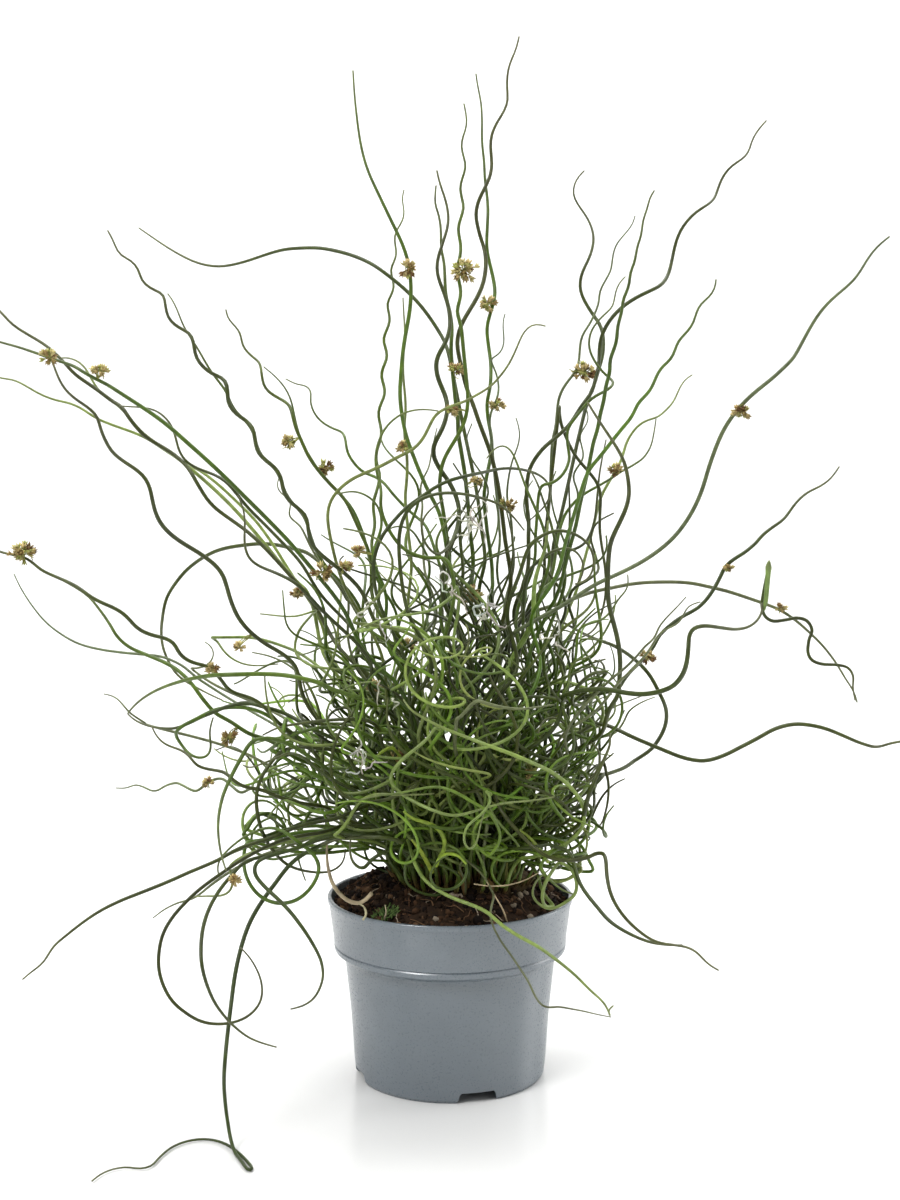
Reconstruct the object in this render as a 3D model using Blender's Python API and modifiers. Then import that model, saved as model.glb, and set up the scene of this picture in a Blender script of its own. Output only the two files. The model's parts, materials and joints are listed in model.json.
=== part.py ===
# Corkscrew rush in a nursery pot: a clump of wiry, twisted stems that stands
# in a peat root ball, in a blue-grey plastic pot with a rolled rim band.
# Metres, +Z up. The pot stands on z = 0 with its axis on the Z axis.
import bpy
import bmesh
import math
import numpy as np
from mathutils import Vector

for ob in list(bpy.data.objects):
    bpy.data.objects.remove(ob, do_unlink=True)

# ------------------------------------------------------------ dimensions
POT_H = 0.104            # height of the pot
RIM_R = 0.0700           # outer radius at the lip
BAND_R = 0.0661          # outer radius at the bottom of the rim band
BAND_Z = 0.0750          # bottom of the rim band
BODY_R = 0.0598          # outer radius of the body under the band
BODY_Z = 0.0680          # where the body starts under the shoulder
FOOT_R = 0.0541          # outer radius of the foot
WALL = 0.0016            # wall of the pot
FLOOR_Z = 0.0055         # underside of the raised pot floor
NOTCH_AT = (16.5, 106.5, 196.5, 286.5)   # drain notches, degrees from the front
NOTCH_W = 0.0250
NOTCH_H = 0.0052
HOLE_R = 0.0042          # drain holes in the pot floor
GAP = 0.0003             # clearance between neighbouring pieces
CROWN_X = 0.008          # the clump stands a little right of the pot's axis
CROWN_R = 0.0460
CROWN_TOP = 0.1240
SOIL_EDGE = 0.0945       # peat at the pot wall
HALF_X = 0.2760          # the clump's half width, side to side
HALF_Y = 0.1900          # the clump's half depth

# picture plane that the stems were drawn on: eye point, tilt and scale
EYE = Vector((0.0, -0.984, 0.364))
TILT = math.radians(5.3)
SCALE = 1750.0


def at(px, py, y):
    """The point seen at picture position px, py on the plane Y = y."""
    fwd = Vector((0.0, math.cos(TILT), -math.sin(TILT)))
    up = Vector((0.0, math.sin(TILT), math.cos(TILT)))
    ray = fwd + Vector((1.0, 0.0, 0.0)) * ((px - 450.0) / SCALE) + up * ((600.0 - py) / SCALE)
    return EYE + ray * ((y - EYE.y) / ray.y)


def on_floor(px, py, z):
    """The point seen at picture position px, py on the plane Z = z."""
    a = at(px, py, 0.0) - EYE
    return EYE + a * ((z - EYE.z) / a.z)


# --------------------------------------------------------------- helpers
coll = bpy.data.collections.new("corkscrew_rush")
bpy.context.scene.collection.children.link(coll)
tools_coll = bpy.data.collections.new("cutters")
bpy.context.scene.collection.children.link(tools_coll)


def material(name, rgb, rough, metallic=0.0):
    m = bpy.data.materials.new(name)
    m.use_nodes = True
    b = m.node_tree.nodes["Principled BSDF"]
    b.inputs["Base Color"].default_value = (*rgb, 1.0)
    b.inputs["Roughness"].default_value = rough
    b.inputs["Metallic"].default_value = metallic
    m.diffuse_color = (*rgb, 1.0)
    return m


def add_object(name, mesh, mat, where=coll):
    ob = bpy.data.objects.new(name, mesh)
    where.objects.link(ob)
    if mat:
        mesh.materials.append(mat)
    return ob


def smooth(mesh):
    mesh.polygons.foreach_set("use_smooth", [True] * len(mesh.polygons))


def turned(name, profile, steps, mat, where=coll, centre=(0.0, 0.0), closed=False):
    """A solid of revolution about Z. The profile runs top to bottom on +X."""
    mesh = bpy.data.meshes.new(name)
    verts = [(r, 0.0, z) for r, z in profile]
    edges = [(i, i + 1) for i in range(len(verts) - 1)]
    if closed:
        edges.append((len(verts) - 1, 0))
    mesh.from_pydata(verts, edges, [])
    ob = add_object(name, mesh, mat, where)
    mod = ob.modifiers.new("turn", "SCREW")
    mod.axis = "Z"
    mod.angle = math.tau
    mod.steps = steps
    mod.render_steps = steps
    mod.use_merge_vertices = True
    mod.merge_threshold = 0.00005
    ob.location = (centre[0], centre[1], 0.0)
    return ob


def baked(ob):
    """The object's mesh after its modifiers, in place of the modifiers."""
    bpy.context.view_layer.update()
    deps = bpy.context.evaluated_depsgraph_get()
    mesh = bpy.data.meshes.new_from_object(ob.evaluated_get(deps))
    mesh.transform(ob.matrix_world)
    bm = bmesh.new()
    bm.from_mesh(mesh)
    bmesh.ops.remove_doubles(bm, verts=bm.verts, dist=0.00001)
    bmesh.ops.dissolve_degenerate(bm, edges=bm.edges, dist=0.00001)
    bmesh.ops.recalc_face_normals(bm, faces=bm.faces)
    if bm.calc_volume(signed=True) < 0:
        bmesh.ops.reverse_faces(bm, faces=bm.faces)
    bm.to_mesh(mesh)
    bm.free()
    name, mats, colls = ob.name, [m for m in ob.data.materials], list(ob.users_collection)
    bpy.data.objects.remove(ob, do_unlink=True)
    mesh.materials.clear()
    for m in mats:
        mesh.materials.append(m)
    new = bpy.data.objects.new(name, mesh)
    colls[0].objects.link(new)
    return new


def hide(ob):
    ob.hide_render = True
    ob.display_type = "WIRE"
    return ob


def cut(ob, cutter, how="DIFFERENCE"):
    hide(cutter)
    mod = ob.modifiers.new("cut", "BOOLEAN")
    mod.operation = how
    mod.solver = "EXACT"
    mod.object = cutter
    return mod


M_POT = material("pot_plastic", (0.175, 0.213, 0.238), 0.52)
M_PEAT = material("peat", (0.035, 0.020, 0.012), 0.95)
M_CROWN = material("crown_fibre", (0.22, 0.16, 0.07), 0.85)
M_STEM = material("stem_green", (0.095, 0.150, 0.035), 0.45)
M_STEM_OLD = material("stem_olive", (0.16, 0.17, 0.06), 0.50)
M_DRY = material("stem_dry", (0.62, 0.52, 0.34), 0.70)
M_FLOWER = material("flower_tan", (0.40, 0.26, 0.07), 0.80)
M_MOSS = material("moss", (0.14, 0.22, 0.04), 0.95)

# ------------------------------------------------------------------- pot
inner_floor = FLOOR_Z + WALL
pot = turned("pot", [
    (RIM_R - 0.0006, POT_H), (RIM_R, POT_H - 0.0008),
    (RIM_R, POT_H - 0.0030), (RIM_R - 0.0012, POT_H - 0.0042),
    (BAND_R, BAND_Z), (BAND_R - 0.0007, BAND_Z - 0.0007),
    (BODY_R + 0.0006, BODY_Z), (BODY_R, BODY_Z - 0.003),
    (FOOT_R + 0.0012, 0.010), (FOOT_R, 0.0008), (FOOT_R - 0.0006, 0.0),
    (FOOT_R - WALL - 0.0006, 0.0), (FOOT_R - WALL - 0.0009, FLOOR_Z),
    (0.0200, FLOOR_Z + 0.0012), (0.0, FLOOR_Z + 0.0012),
    (0.0, inner_floor + 0.0012), (0.0200, inner_floor + 0.0012),
    (FOOT_R - WALL - 0.0030, inner_floor), (FOOT_R - WALL, inner_floor + 0.0030),
    (BODY_R - WALL, BODY_Z - 0.003), (BODY_R - WALL + 0.0004, BODY_Z),
    (BAND_R - WALL, BAND_Z + 0.0020), (RIM_R - WALL - 0.0008, POT_H - 0.0008),
    (RIM_R - WALL - 0.0002, POT_H),
], 48, M_POT, closed=True)
pot = baked(pot)
cutters = []
for k, deg in enumerate(NOTCH_AT):
    a = math.radians(deg - 90.0)
    # trapezoid block that opens the foot skirt
    w0, w1 = NOTCH_W / 2, NOTCH_W / 2 - 0.0022
    r0, r1 = FOOT_R - 0.0085, FOOT_R + 0.0040
    prof = [(-w0, -0.004), (w0, -0.004), (w1, NOTCH_H), (-w1, NOTCH_H)]
    vs = [(r0, p, z) for p, z in prof] + [(r1, p, z) for p, z in prof]
    fs = [(3, 2, 1, 0), (4, 5, 6, 7), (0, 1, 5, 4), (1, 2, 6, 5), (2, 3, 7, 6), (3, 0, 4, 7)]
    me = bpy.data.meshes.new("notch_%d" % k)
    me.from_pydata(vs, [], fs)
    c = add_object("notch_%d" % k, me, None, tools_coll)
    c.rotation_euler = (0.0, 0.0, a)
    cutters.append(c)
for k, (r, deg) in enumerate([(0.0, 0)] + [(0.036, 60.0 + 90.0 * i) for i in range(4)]):
    a = math.radians(deg - 90.0)
    me = bpy.data.meshes.new("drain_%d" % k)
    bm = bmesh.new()
    bmesh.ops.create_cone(bm, cap_ends=True, segments=12, radius1=HOLE_R, radius2=HOLE_R, depth=0.02)
    bm.to_mesh(me)
    bm.free()
    c = add_object("drain_%d" % k, me, None, tools_coll)
    c.location = (r * math.cos(a), r * math.sin(a), 0.008)
    cutters.append(c)
for c in cutters:
    cut(pot, c)
smooth(pot.data)

# ------------------------------------------------------ peat and crown
crown_prof = [(0.0, CROWN_TOP), (0.012, CROWN_TOP - 0.0008), (0.024, CROWN_TOP - 0.0032),
              (0.034, CROWN_TOP - 0.0070), (0.0415, CROWN_TOP - 0.0125), (CROWN_R, CROWN_TOP - 0.0200),
              (CROWN_R - 0.0015, 0.0860), (0.0330, 0.0780), (0.0, 0.0780)]


def crown_height(x, y):
    """Height of the crown's dome over x, y."""
    r = math.hypot(x - CROWN_X, y)
    rr = [p[0] for p in crown_prof[:6]]
    zz = [p[1] for p in crown_prof[:6]]
    return float(np.interp(r, rr, zz))


crown = baked(turned("crown", crown_prof, 28, M_CROWN, centre=(CROWN_X, 0.0)))
smooth(crown.data)

soil_prof = [(0.0, 0.1150), (0.030, 0.1150), (0.0500, 0.1075), (0.0575, 0.1010),
             (0.0625, 0.0962), (RIM_R - WALL - 0.0008 - GAP - 0.0009, SOIL_EDGE),
             (BAND_R - WALL - GAP - 0.0001, BAND_Z + 0.0016),
             (BODY_R - WALL - GAP, BODY_Z + 0.0003), (BODY_R - WALL - GAP - 0.0001, BODY_Z - 0.004),
             (FOOT_R - WALL - GAP - 0.0001, inner_floor + 0.0034),
             (FOOT_R - WALL - 0.0034, inner_floor + 0.0005),
             (0.0200, inner_floor + 0.0016), (0.0, inner_floor + 0.0016)]


def soil_height(x, y):
    rr = [p[0] for p in soil_prof[:6]]
    zz = [p[1] for p in soil_prof[:6]]
    return float(np.interp(math.hypot(x, y), rr, zz))


soil = baked(turned("peat_root_ball", soil_prof, 40, M_PEAT))
seat_prof = [(0.0, 0.140), (CROWN_R + GAP, 0.140), (CROWN_R + GAP, CROWN_TOP - 0.0200),
             (CROWN_R - 0.0015 + GAP, 0.0860 - GAP), (0.0330, 0.0780 - GAP), (0.0, 0.0780 - GAP)]
seat = baked(turned("crown_seat", seat_prof, 28, None, tools_coll, centre=(CROWN_X, 0.0)))
cut(soil, seat)
smooth(soil.data)

# ----------------------------------------------------------------- stems
# name, radius (mm), depth knots (cm, tip to base), picture points tip to base.
# A third number in a point marks it as lying on the floor.
STEMS = [
    ("t01", 1.25, (3, 4, 2, 1), [(519, 37), (513, 55), (508, 70), (508, 98), (503, 112), (496, 124), (491, 137), (492, 160), (489, 180), (481, 197), (476, 213), (479, 230), (485, 250), (486, 270), (482, 285), (475, 302), (463, 322), (459, 335), (459, 350), (463, 368), (467, 388), (473, 402), (478, 420), (486, 440), (493, 458), (497, 480), (501, 505), (508, 560), (512, 640)]),
    ("t02", 1.15, (-9, -5, -2), [(353, 71), (356, 105), (361, 140), (367, 165), (378, 192), (392, 222), (402, 245), (408, 262), (411, 285), (411, 305), (408, 325), (404, 345), (401, 370), (400, 395), (402, 420), (407, 440), (416, 462), (426, 485), (436, 508), (450, 560), (456, 640)]),
    ("t03", 1.10, (-4, -3, -1), [(464, 104), (467, 121), (463, 135), (461, 143), (465, 160), (464, 173), (460, 187), (463, 200), (463, 210), (458, 227), (461, 240), (461, 253), (457, 267), (460, 283), (461, 296), (457, 310), (458, 322), (463, 345), (467, 380), (468, 402), (462, 425), (452, 445), (443, 460), (440, 480), (441, 500), (446, 530), (449, 600)]),
    ("t04", 1.50, (-1, -2, -3), [(437, 171), (441, 188), (447, 205), (449, 220), (446, 235), (441, 252), (437, 268), (440, 282), (446, 300), (450, 318), (449, 335), (440, 352), (436, 365), (440, 380), (445, 395), (447, 410), (444, 425), (437, 438), (433, 452), (438, 466), (446, 480), (454, 495), (458, 515), (462, 580), (470, 660)]),
    ("t05", 1.25, (3, 2, 1), [(436, 186), (435, 203), (440, 218), (441, 240), (442, 254), (444, 268), (445, 290), (448, 310), (452, 330), (452, 348), (453, 365), (455, 385), (456, 405), (458, 425), (461, 450), (465, 475), (467, 500), (474, 560), (478, 640)]),
    ("t06", 1.15, (9, 7, 3), [(476, 76), (479, 95), (482, 112), (482, 140), (485, 165), (486, 185), (488, 205), (488, 222), (487, 240), (489, 258), (494, 280), (494, 300), (490, 318), (487, 335), (490, 355), (492, 375), (491, 390), (487, 405), (489, 420), (492, 440), (490, 460), (487, 480), (485, 505), (490, 580), (496, 660)]),
    ("t07", 1.00, (12, 9, 4), [(404, 190), (402, 200), (405, 212), (403, 222), (396, 232), (394, 240), (397, 252), (395, 262), (390, 270), (393, 280), (393, 292), (387, 303), (389, 320), (384, 338), (387, 355), (381, 375), (385, 395), (379, 415), (381, 432), (377, 450), (379, 475), (376, 490), (373, 505), (380, 560), (400, 640)]),
    ("t08", 1.15, (14, 8, 5, 3), [(139, 231), (152, 240), (170, 250), (190, 260), (205, 265), (220, 266), (240, 262), (262, 255), (290, 249), (315, 249), (340, 252), (365, 261), (390, 275), (410, 292), (425, 310), (440, 333), (448, 350), (455, 375), (464, 420), (478, 500), (486, 600)]),
    ("t09", 0.90, (-14, -10, -5, -2), [(546, 325), (533, 325), (524, 332), (517, 350), (508, 365), (495, 382), (480, 393), (468, 402), (450, 408), (440, 412), (433, 420), (425, 435), (415, 448), (400, 455), (385, 462), (372, 470), (355, 477), (342, 487), (331, 502), (330, 530), (345, 590), (380, 680)]),
    ("t10", 1.00, (16, 12, 6), [(300, 385), (308, 388), (310, 400), (313, 413), (322, 424), (335, 430), (344, 434), (346, 446), (350, 459), (362, 471), (379, 478), (390, 491), (403, 506), (420, 540), (440, 620)]),
    ("l01", 1.20, (-10, -8, -4), [(110, 233), (114, 242), (117, 252), (126, 258), (136, 263), (140, 276), (144, 284), (153, 290), (163, 294), (165, 306), (169, 318), (180, 327), (192, 333), (195, 348), (200, 363), (210, 371), (221, 376), (227, 386), (229, 400), (238, 412), (250, 422), (255, 436), (259, 452), (270, 465), (281, 476), (285, 493), (298, 512), (318, 550), (350, 610), (400, 690)]),
    ("l02", 1.10, (2, 1, 0), [(226, 314), (233, 324), (240, 334), (243, 346), (252, 357), (262, 367), (266, 388), (280, 400), (292, 410), (300, 430), (318, 455), (340, 485), (365, 540), (400, 640)]),
    ("l03", 1.20, (6, 4, 1), [(-42, 282), (-22, 292), (0, 311), (20, 330), (40, 342), (60, 358), (72, 370), (98, 390), (118, 404), (135, 425), (148, 438), (172, 453), (187, 465), (200, 487), (218, 512), (245, 530), (270, 550), (310, 600), (370, 680)]),
    ("l04", 1.15, (-6, -7, -4), [(-34, 322), (-18, 336), (0, 342), (22, 348), (44, 355), (68, 364), (95, 378), (120, 392), (143, 408), (165, 423), (180, 434), (205, 457), (230, 482), (256, 508), (298, 546), (340, 600), (410, 700)]),
    ("l05", 1.35, (-17, -13, -7, -3), [(48, 352), (55, 368), (62, 386), (75, 400), (90, 410), (99, 420), (104, 436), (112, 454), (130, 467), (147, 482), (153, 496), (158, 514), (166, 530), (180, 543), (200, 555), (216, 566), (225, 580), (231, 600), (240, 622), (256, 640), (280, 665), (330, 700), (400, 750)]),
    ("l06", 0.95, (4, 6, 4), [(-36, 366), (-16, 372), (0, 378), (20, 384), (45, 397), (72, 404), (100, 420), (122, 428), (150, 440), (200, 470), (260, 540), (330, 640)]),
    ("l07", 1.30, (-8, -10, -6, -3), [(-46, 545), (-24, 540), (-8, 548), (4, 553), (18, 556), (34, 562), (52, 576), (72, 584), (88, 594), (103, 604), (122, 613), (138, 629), (150, 636), (168, 640), (178, 650), (188, 664), (208, 672), (225, 684), (240, 705), (275, 735), (330, 770), (390, 800)]),
    ("l08", 1.15, (-2, -4, -3), [(60, 579), (80, 592), (97, 604), (110, 624), (122, 642), (140, 654), (165, 663), (185, 673), (202, 695), (222, 718), (250, 735), (290, 757), (350, 790)]),
    ("l09", 0.85, (9, 6, 2), [(14, 574), (24, 594), (40, 620), (62, 637), (90, 648), (125, 652), (160, 657), (195, 672), (240, 700), (320, 740)]),
    ("l10", 1.25, (12, 16, 8, 4), [(230, 700), (204, 695), (180, 680), (165, 655), (161, 630), (163, 608), (172, 586), (186, 570), (202, 559), (222, 549), (245, 545), (271, 544), (298, 548), (330, 570), (370, 620), (410, 700)]),
    ("l11", 1.20, (-3, -9, -9, -4), [(211, 713), (184, 726), (165, 729), (142, 724), (128, 715), (138, 703), (161, 690), (195, 681), (241, 675), (280, 675), (320, 682), (370, 700), (410, 750)]),
    ("l12", 0.95, (11, 8, 3), [(118, 788), (138, 785), (157, 791), (177, 784), (197, 790), (223, 781), (245, 793), (290, 796), (340, 810)]),
    ("l13", 1.10, (-13, -9, -4), [(223, 858), (218, 833), (219, 810), (228, 781), (250, 765), (285, 760), (330, 775), (375, 815)]),
    ("ll1", 1.20, (-16, -10, -4), [(23, 977), (46, 958), (60, 940), (97, 914), (136, 895), (175, 878), (218, 860), (279, 838), (327, 822), (360, 808), (385, 800)]),
    ("ll2", 1.25, (0, 0, -11, -7, -4), [(92, 1181, 1), (107, 1173, 1), (128, 1168, 1), (150, 1169, 1), (160, 1159, 1), (179, 1145, 1), (206, 1139, 1), (230, 1146, 1), (250, 1160, 1), (244, 1150), (233, 1130), (227, 1100), (225, 1062), (230, 1014), (240, 956), (250, 922), (271, 888), (303, 856), (330, 834), (370, 815)]),
    ("ll3", 1.10, (-9, -12, -9, -5), [(242, 953), (255, 968), (262, 987), (259, 1004), (242, 1020), (218, 1025), (194, 1019), (170, 997), (158, 965), (162, 934), (182, 905), (223, 876), (270, 852), (320, 838), (365, 830)]),
    ("ll4", 1.05, (-12, -14, -10, -5), [(276, 1047), (250, 1039), (230, 1025), (218, 1009), (206, 985), (201, 948), (208, 917), (225, 883), (248, 858), (290, 826), (340, 806)]),
    ("ll5", 1.05, (-11, -12, -10, -6), [(291, 1009), (308, 1002), (320, 985), (321, 963), (308, 936), (286, 910), (267, 893), (254, 868), (262, 840), (290, 815), (340, 800)]),
    ("r01", 1.35, (6, 3, 1), [(765, 123), (753, 139), (745, 158), (728, 170), (719, 187), (711, 202), (692, 216), (680, 233), (674, 257), (668, 277), (653, 291), (627, 306), (607, 325), (601, 350), (595, 381), (585, 403), (560, 432), (543, 447), (532, 463), (528, 480), (528, 520), (522, 600)]),
    ("r02", 1.10, (12, 8, 4), [(584, 171), (574, 190), (581, 207), (593, 231), (590, 257), (581, 282), (585, 304), (598, 323), (604, 337), (598, 380), (580, 440), (560, 520), (535, 620)]),
    ("r03", 1.10, (-8, -5, -2), [(653, 192), (647, 211), (642, 236), (636, 255), (630, 279), (624, 304), (617, 335), (611, 362), (604, 398), (595, 439), (587, 478), (570, 540), (545, 620)]),
    ("r06", 1.05, (-15, -10, -4), [(716, 282), (711, 296), (698, 308), (692, 325), (677, 342), (670, 359), (656, 376), (648, 393), (636, 408), (629, 425), (612, 444), (590, 480), (560, 560), (530, 650)]),
    ("r07", 1.00, (15, 10, 5), [(690, 375), (673, 400), (658, 417), (636, 427), (627, 447), (624, 464), (610, 510), (580, 600), (545, 700)]),
    ("r08", 1.20, (-7, -5, -3), [(887, 238), (869, 255), (857, 277), (830, 299), (811, 325), (794, 357), (770, 381), (740, 410), (719, 440), (704, 486), (684, 524), (653, 552), (615, 575), (564, 598), (531, 619), (505, 645), (490, 700)]),
    ("r09", 1.15, (3, 1, 0), [(838, 468), (806, 494), (786, 516), (763, 534), (727, 565), (714, 593), (694, 611), (663, 629), (640, 652), (600, 690), (555, 740)]),
    ("r10", 1.50, (-12, -15, -9, -4), [(768, 562), (769, 590), (764, 608), (758, 622), (742, 629), (719, 627), (701, 624), (693, 632), (690, 652), (684, 677), (668, 691), (643, 694), (601, 690), (560, 700), (525, 760)]),
    ("r11", 1.15, (10, 8, 3), [(857, 704), (849, 687), (832, 659), (806, 629), (775, 608), (742, 596), (704, 585), (663, 582), (615, 587), (576, 596), (540, 620), (515, 690)]),
    ("r13", 1.15, (-4, -5, -3), [(944, 728), (925, 737), (900, 742), (880, 747), (857, 742), (826, 729), (798, 724), (768, 733), (730, 755), (704, 761), (679, 756), (643, 740), (602, 727), (560, 740), (525, 790)]),
    ("r14", 1.40, (-16, -14, -8, -3), [(612, 440), (625, 465), (630, 491), (622, 522), (610, 550), (607, 578), (610, 606), (617, 644), (612, 680), (590, 730), (555, 790)]),
    ("r15", 1.15, (5, 9, 6, 2), [(538, 640), (576, 636), (615, 647), (643, 664), (663, 693), (667, 713), (658, 741), (633, 763), (605, 775), (570, 800), (545, 830)]),
    ("b01", 1.20, (-15, -13, -8, -3), [(714, 968), (690, 950), (655, 940), (620, 912), (607, 885), (600, 862), (571, 850), (540, 840), (520, 835)]),
    ("b02", 1.10, (-13, -11, -6), [(612, 1012), (604, 1018), (585, 1000), (560, 975), (530, 952), (500, 928), (470, 905), (445, 880), (425, 858), (412, 840)]),
    ("b03", 1.00, (19, 16, 9, 4), [(548, 662), (530, 648), (508, 652), (494, 672), (500, 698), (516, 718), (524, 744), (512, 770), (500, 792)]),
]
DRY = {"l12", "l09", "b03"}
OLD = {"l07", "l10", "r10", "t04", "l05", "r14", "t01", "r01"}
# tips that set the clump's width and depth
PINS = {"l03": (-HALF_X, None), "r13": (HALF_X, None), "b03": (None, HALF_Y), "l05": (None, -HALF_Y)}


def rounded(pts, n):
    """n points evenly spaced along a smooth curve through pts."""
    p = np.array(pts, float)
    p = np.vstack([2 * p[0] - p[1], p, 2 * p[-1] - p[-2]])
    out = []
    for i in range(1, len(p) - 2):
        for t in np.linspace(0, 1, 12, endpoint=False):
            a, b, c, d = p[i - 1], p[i], p[i + 1], p[i + 2]
            out.append(0.5 * ((2 * b) + (c - a) * t + (2 * a - 5 * b + 4 * c - d) * t * t
                              + (3 * b - a - 3 * c + d) * t ** 3))
    out.append(p[-2])
    out = np.array(out)
    s = np.concatenate([[0], np.cumsum(np.linalg.norm(np.diff(out, axis=0), axis=1))])
    u = np.linspace(0, s[-1], n)
    return np.stack([np.interp(u, s, out[:, k]) for k in range(out.shape[1])], axis=1)


def corkscrew(line):
    """Depth swing that turns a wavy drawn line into a winding one."""
    n = len(line)
    w = max(3, n // 9)
    pad = np.pad(line, ((w, w), (0, 0)), mode="edge")
    kern = np.ones(2 * w + 1) / (2 * w + 1)
    soft = np.stack([np.convolve(pad[:, k], kern, mode="valid") for k in range(line.shape[1])], axis=1)
    run = np.gradient(soft, axis=0)
    run /= np.linalg.norm(run, axis=1)[:, None] + 1e-9
    side = np.cross(run, np.array([0.0, 1.0, 0.0]))
    off = np.einsum("ij,ij->i", line - soft, side)
    swing = np.gradient(off)
    k = np.sqrt((off ** 2).mean()) / (np.sqrt((swing ** 2).mean()) + 1e-9)
    return np.clip(swing * k, -0.012, 0.012)


paths = []       # each: name, points base to tip, radii, group
NFINE = 120
for name, rad, depth, pts in STEMS:
    r = rad / 1000.0
    flat = [(p[0], p[1]) for p in pts]
    floor_n = sum(1 for p in pts if len(p) > 2)
    length = [0.0]
    for i in range(1, len(flat)):
        length.append(length[-1] + math.dist(flat[i], flat[i - 1]))
    ys = np.interp(np.array(length) / length[-1], np.linspace(0, 1, len(depth)), depth) / 100.0
    world = []
    touch = on_floor(*flat[floor_n - 1], r).y if floor_n else 0.0
    for i, (px, py) in enumerate(flat):
        if i < floor_n:
            world.append(on_floor(px, py, r + 0.0001))
        elif floor_n and i < floor_n + 5:
            k = (i - floor_n + 1) / 6.0
            world.append(at(px, py, touch * (1 - k) + ys[i] * k))
        else:
            world.append(at(px, py, ys[i]))
    world = np.array([tuple(v) for v in world])
    if name in PINS:
        px, py = PINS[name]
        if px is not None:
            world[0][0] = px
        if py is not None:
            world[0][1] = py
    fine = rounded(world, NFINE)
    if not floor_n:
        fine[:, 1] += corkscrew(fine) * np.clip(np.linspace(0, 6, NFINE), 0, 1)
    paths.append({"name": "stem_" + name, "fine": fine[::-1], "r": r, "floor": floor_n, "group": name})

# tufts: short inner stems that rise together from a small rhizome knot.
# name, knot x and y (m), list of (reach, heading deg, height, curl radius, turns)
TUFTS = [
    ("tuft_left", -0.022, -0.006, [(0.070, 178, 0.150, 0.016, 1.3), (0.040, 130, 0.190, 0.012, 1.8), (0.085, 215, 0.105, 0.014, 1.2), (0.055, 250, 0.165, 0.018, 1.0), (0.020, 60, 0.215, 0.010, 2.2)]),
    ("tuft_right", 0.038, -0.004, [(0.075, 5, 0.150, 0.016, 1.2), (0.045, 60, 0.185, 0.012, 1.7), (0.090, 330, 0.110, 0.015, 1.2), (0.060, 290, 0.160, 0.018, 1.1), (0.030, 120, 0.220, 0.010, 2.1)]),
    ("tuft_front", 0.006, -0.030, [(0.080, 262, 0.120, 0.016, 1.3), (0.050, 235, 0.175, 0.013, 1.6), (0.070, 300, 0.150, 0.015, 1.4), (0.030, 180, 0.200, 0.012, 1.9), (0.095, 280, 0.075, 0.012, 1.0)]),
    ("tuft_back", 0.010, 0.030, [(0.090, 85, 0.150, 0.017, 1.3), (0.060, 120, 0.200, 0.014, 1.6), (0.070, 45, 0.185, 0.015, 1.4), (0.110, 100, 0.095, 0.014, 1.0), (0.030, 30, 0.240, 0.012, 2.2)]),
    ("tuft_middle", 0.008, 0.000, [(0.030, 200, 0.250, 0.014, 2.2), (0.040, 20, 0.235, 0.014, 2.0), (0.060, 320, 0.190, 0.017, 1.5), (0.055, 145, 0.205, 0.017, 1.5)]),
]
KNOT_R = 0.0055
knots = {}
for name, kx, ky, arms in TUFTS:
    kz = crown_height(kx, ky) + KNOT_R + 0.0010
    knots[name] = np.array([kx, ky, kz])
    for j, (reach, head, high, curl, turns) in enumerate(arms):
        a = math.radians(head)
        out = np.array([math.cos(a), math.sin(a), 0.0])
        side = np.array([-math.sin(a), math.cos(a), 0.0])
        fan = math.radians(head)
        pts = [knots[name] + out * 0.0012]
        for i in range(1, NFINE):
            t = i / (NFINE - 1)
            rise = high * math.sin(min(1.0, t * 1.12) * math.pi * 0.5)
            droop = 0.35 * high * max(0.0, t - 0.72) ** 1.2 / 0.28
            go = reach * t ** 1.4
            ph = turns * math.tau * t + j
            grow = curl * min(1.0, t * 2.0)
            p = knots[name] + out * (0.0012 + go) + np.array([0, 0, rise - droop])
            p = p + side * (grow * (math.sin(ph) - math.sin(j) * (1 - t))) * min(1, 3 * t) \
                + out * (0.7 * grow * math.cos(ph)) * min(1, 3 * t)
            pts.append(p)
        fine = rounded(pts[::4] + [pts[-1]], NFINE)
        paths.append({"name": "%s_%d" % (name, j), "fine": fine, "r": 0.0011, "floor": 0, "group": name})

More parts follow.
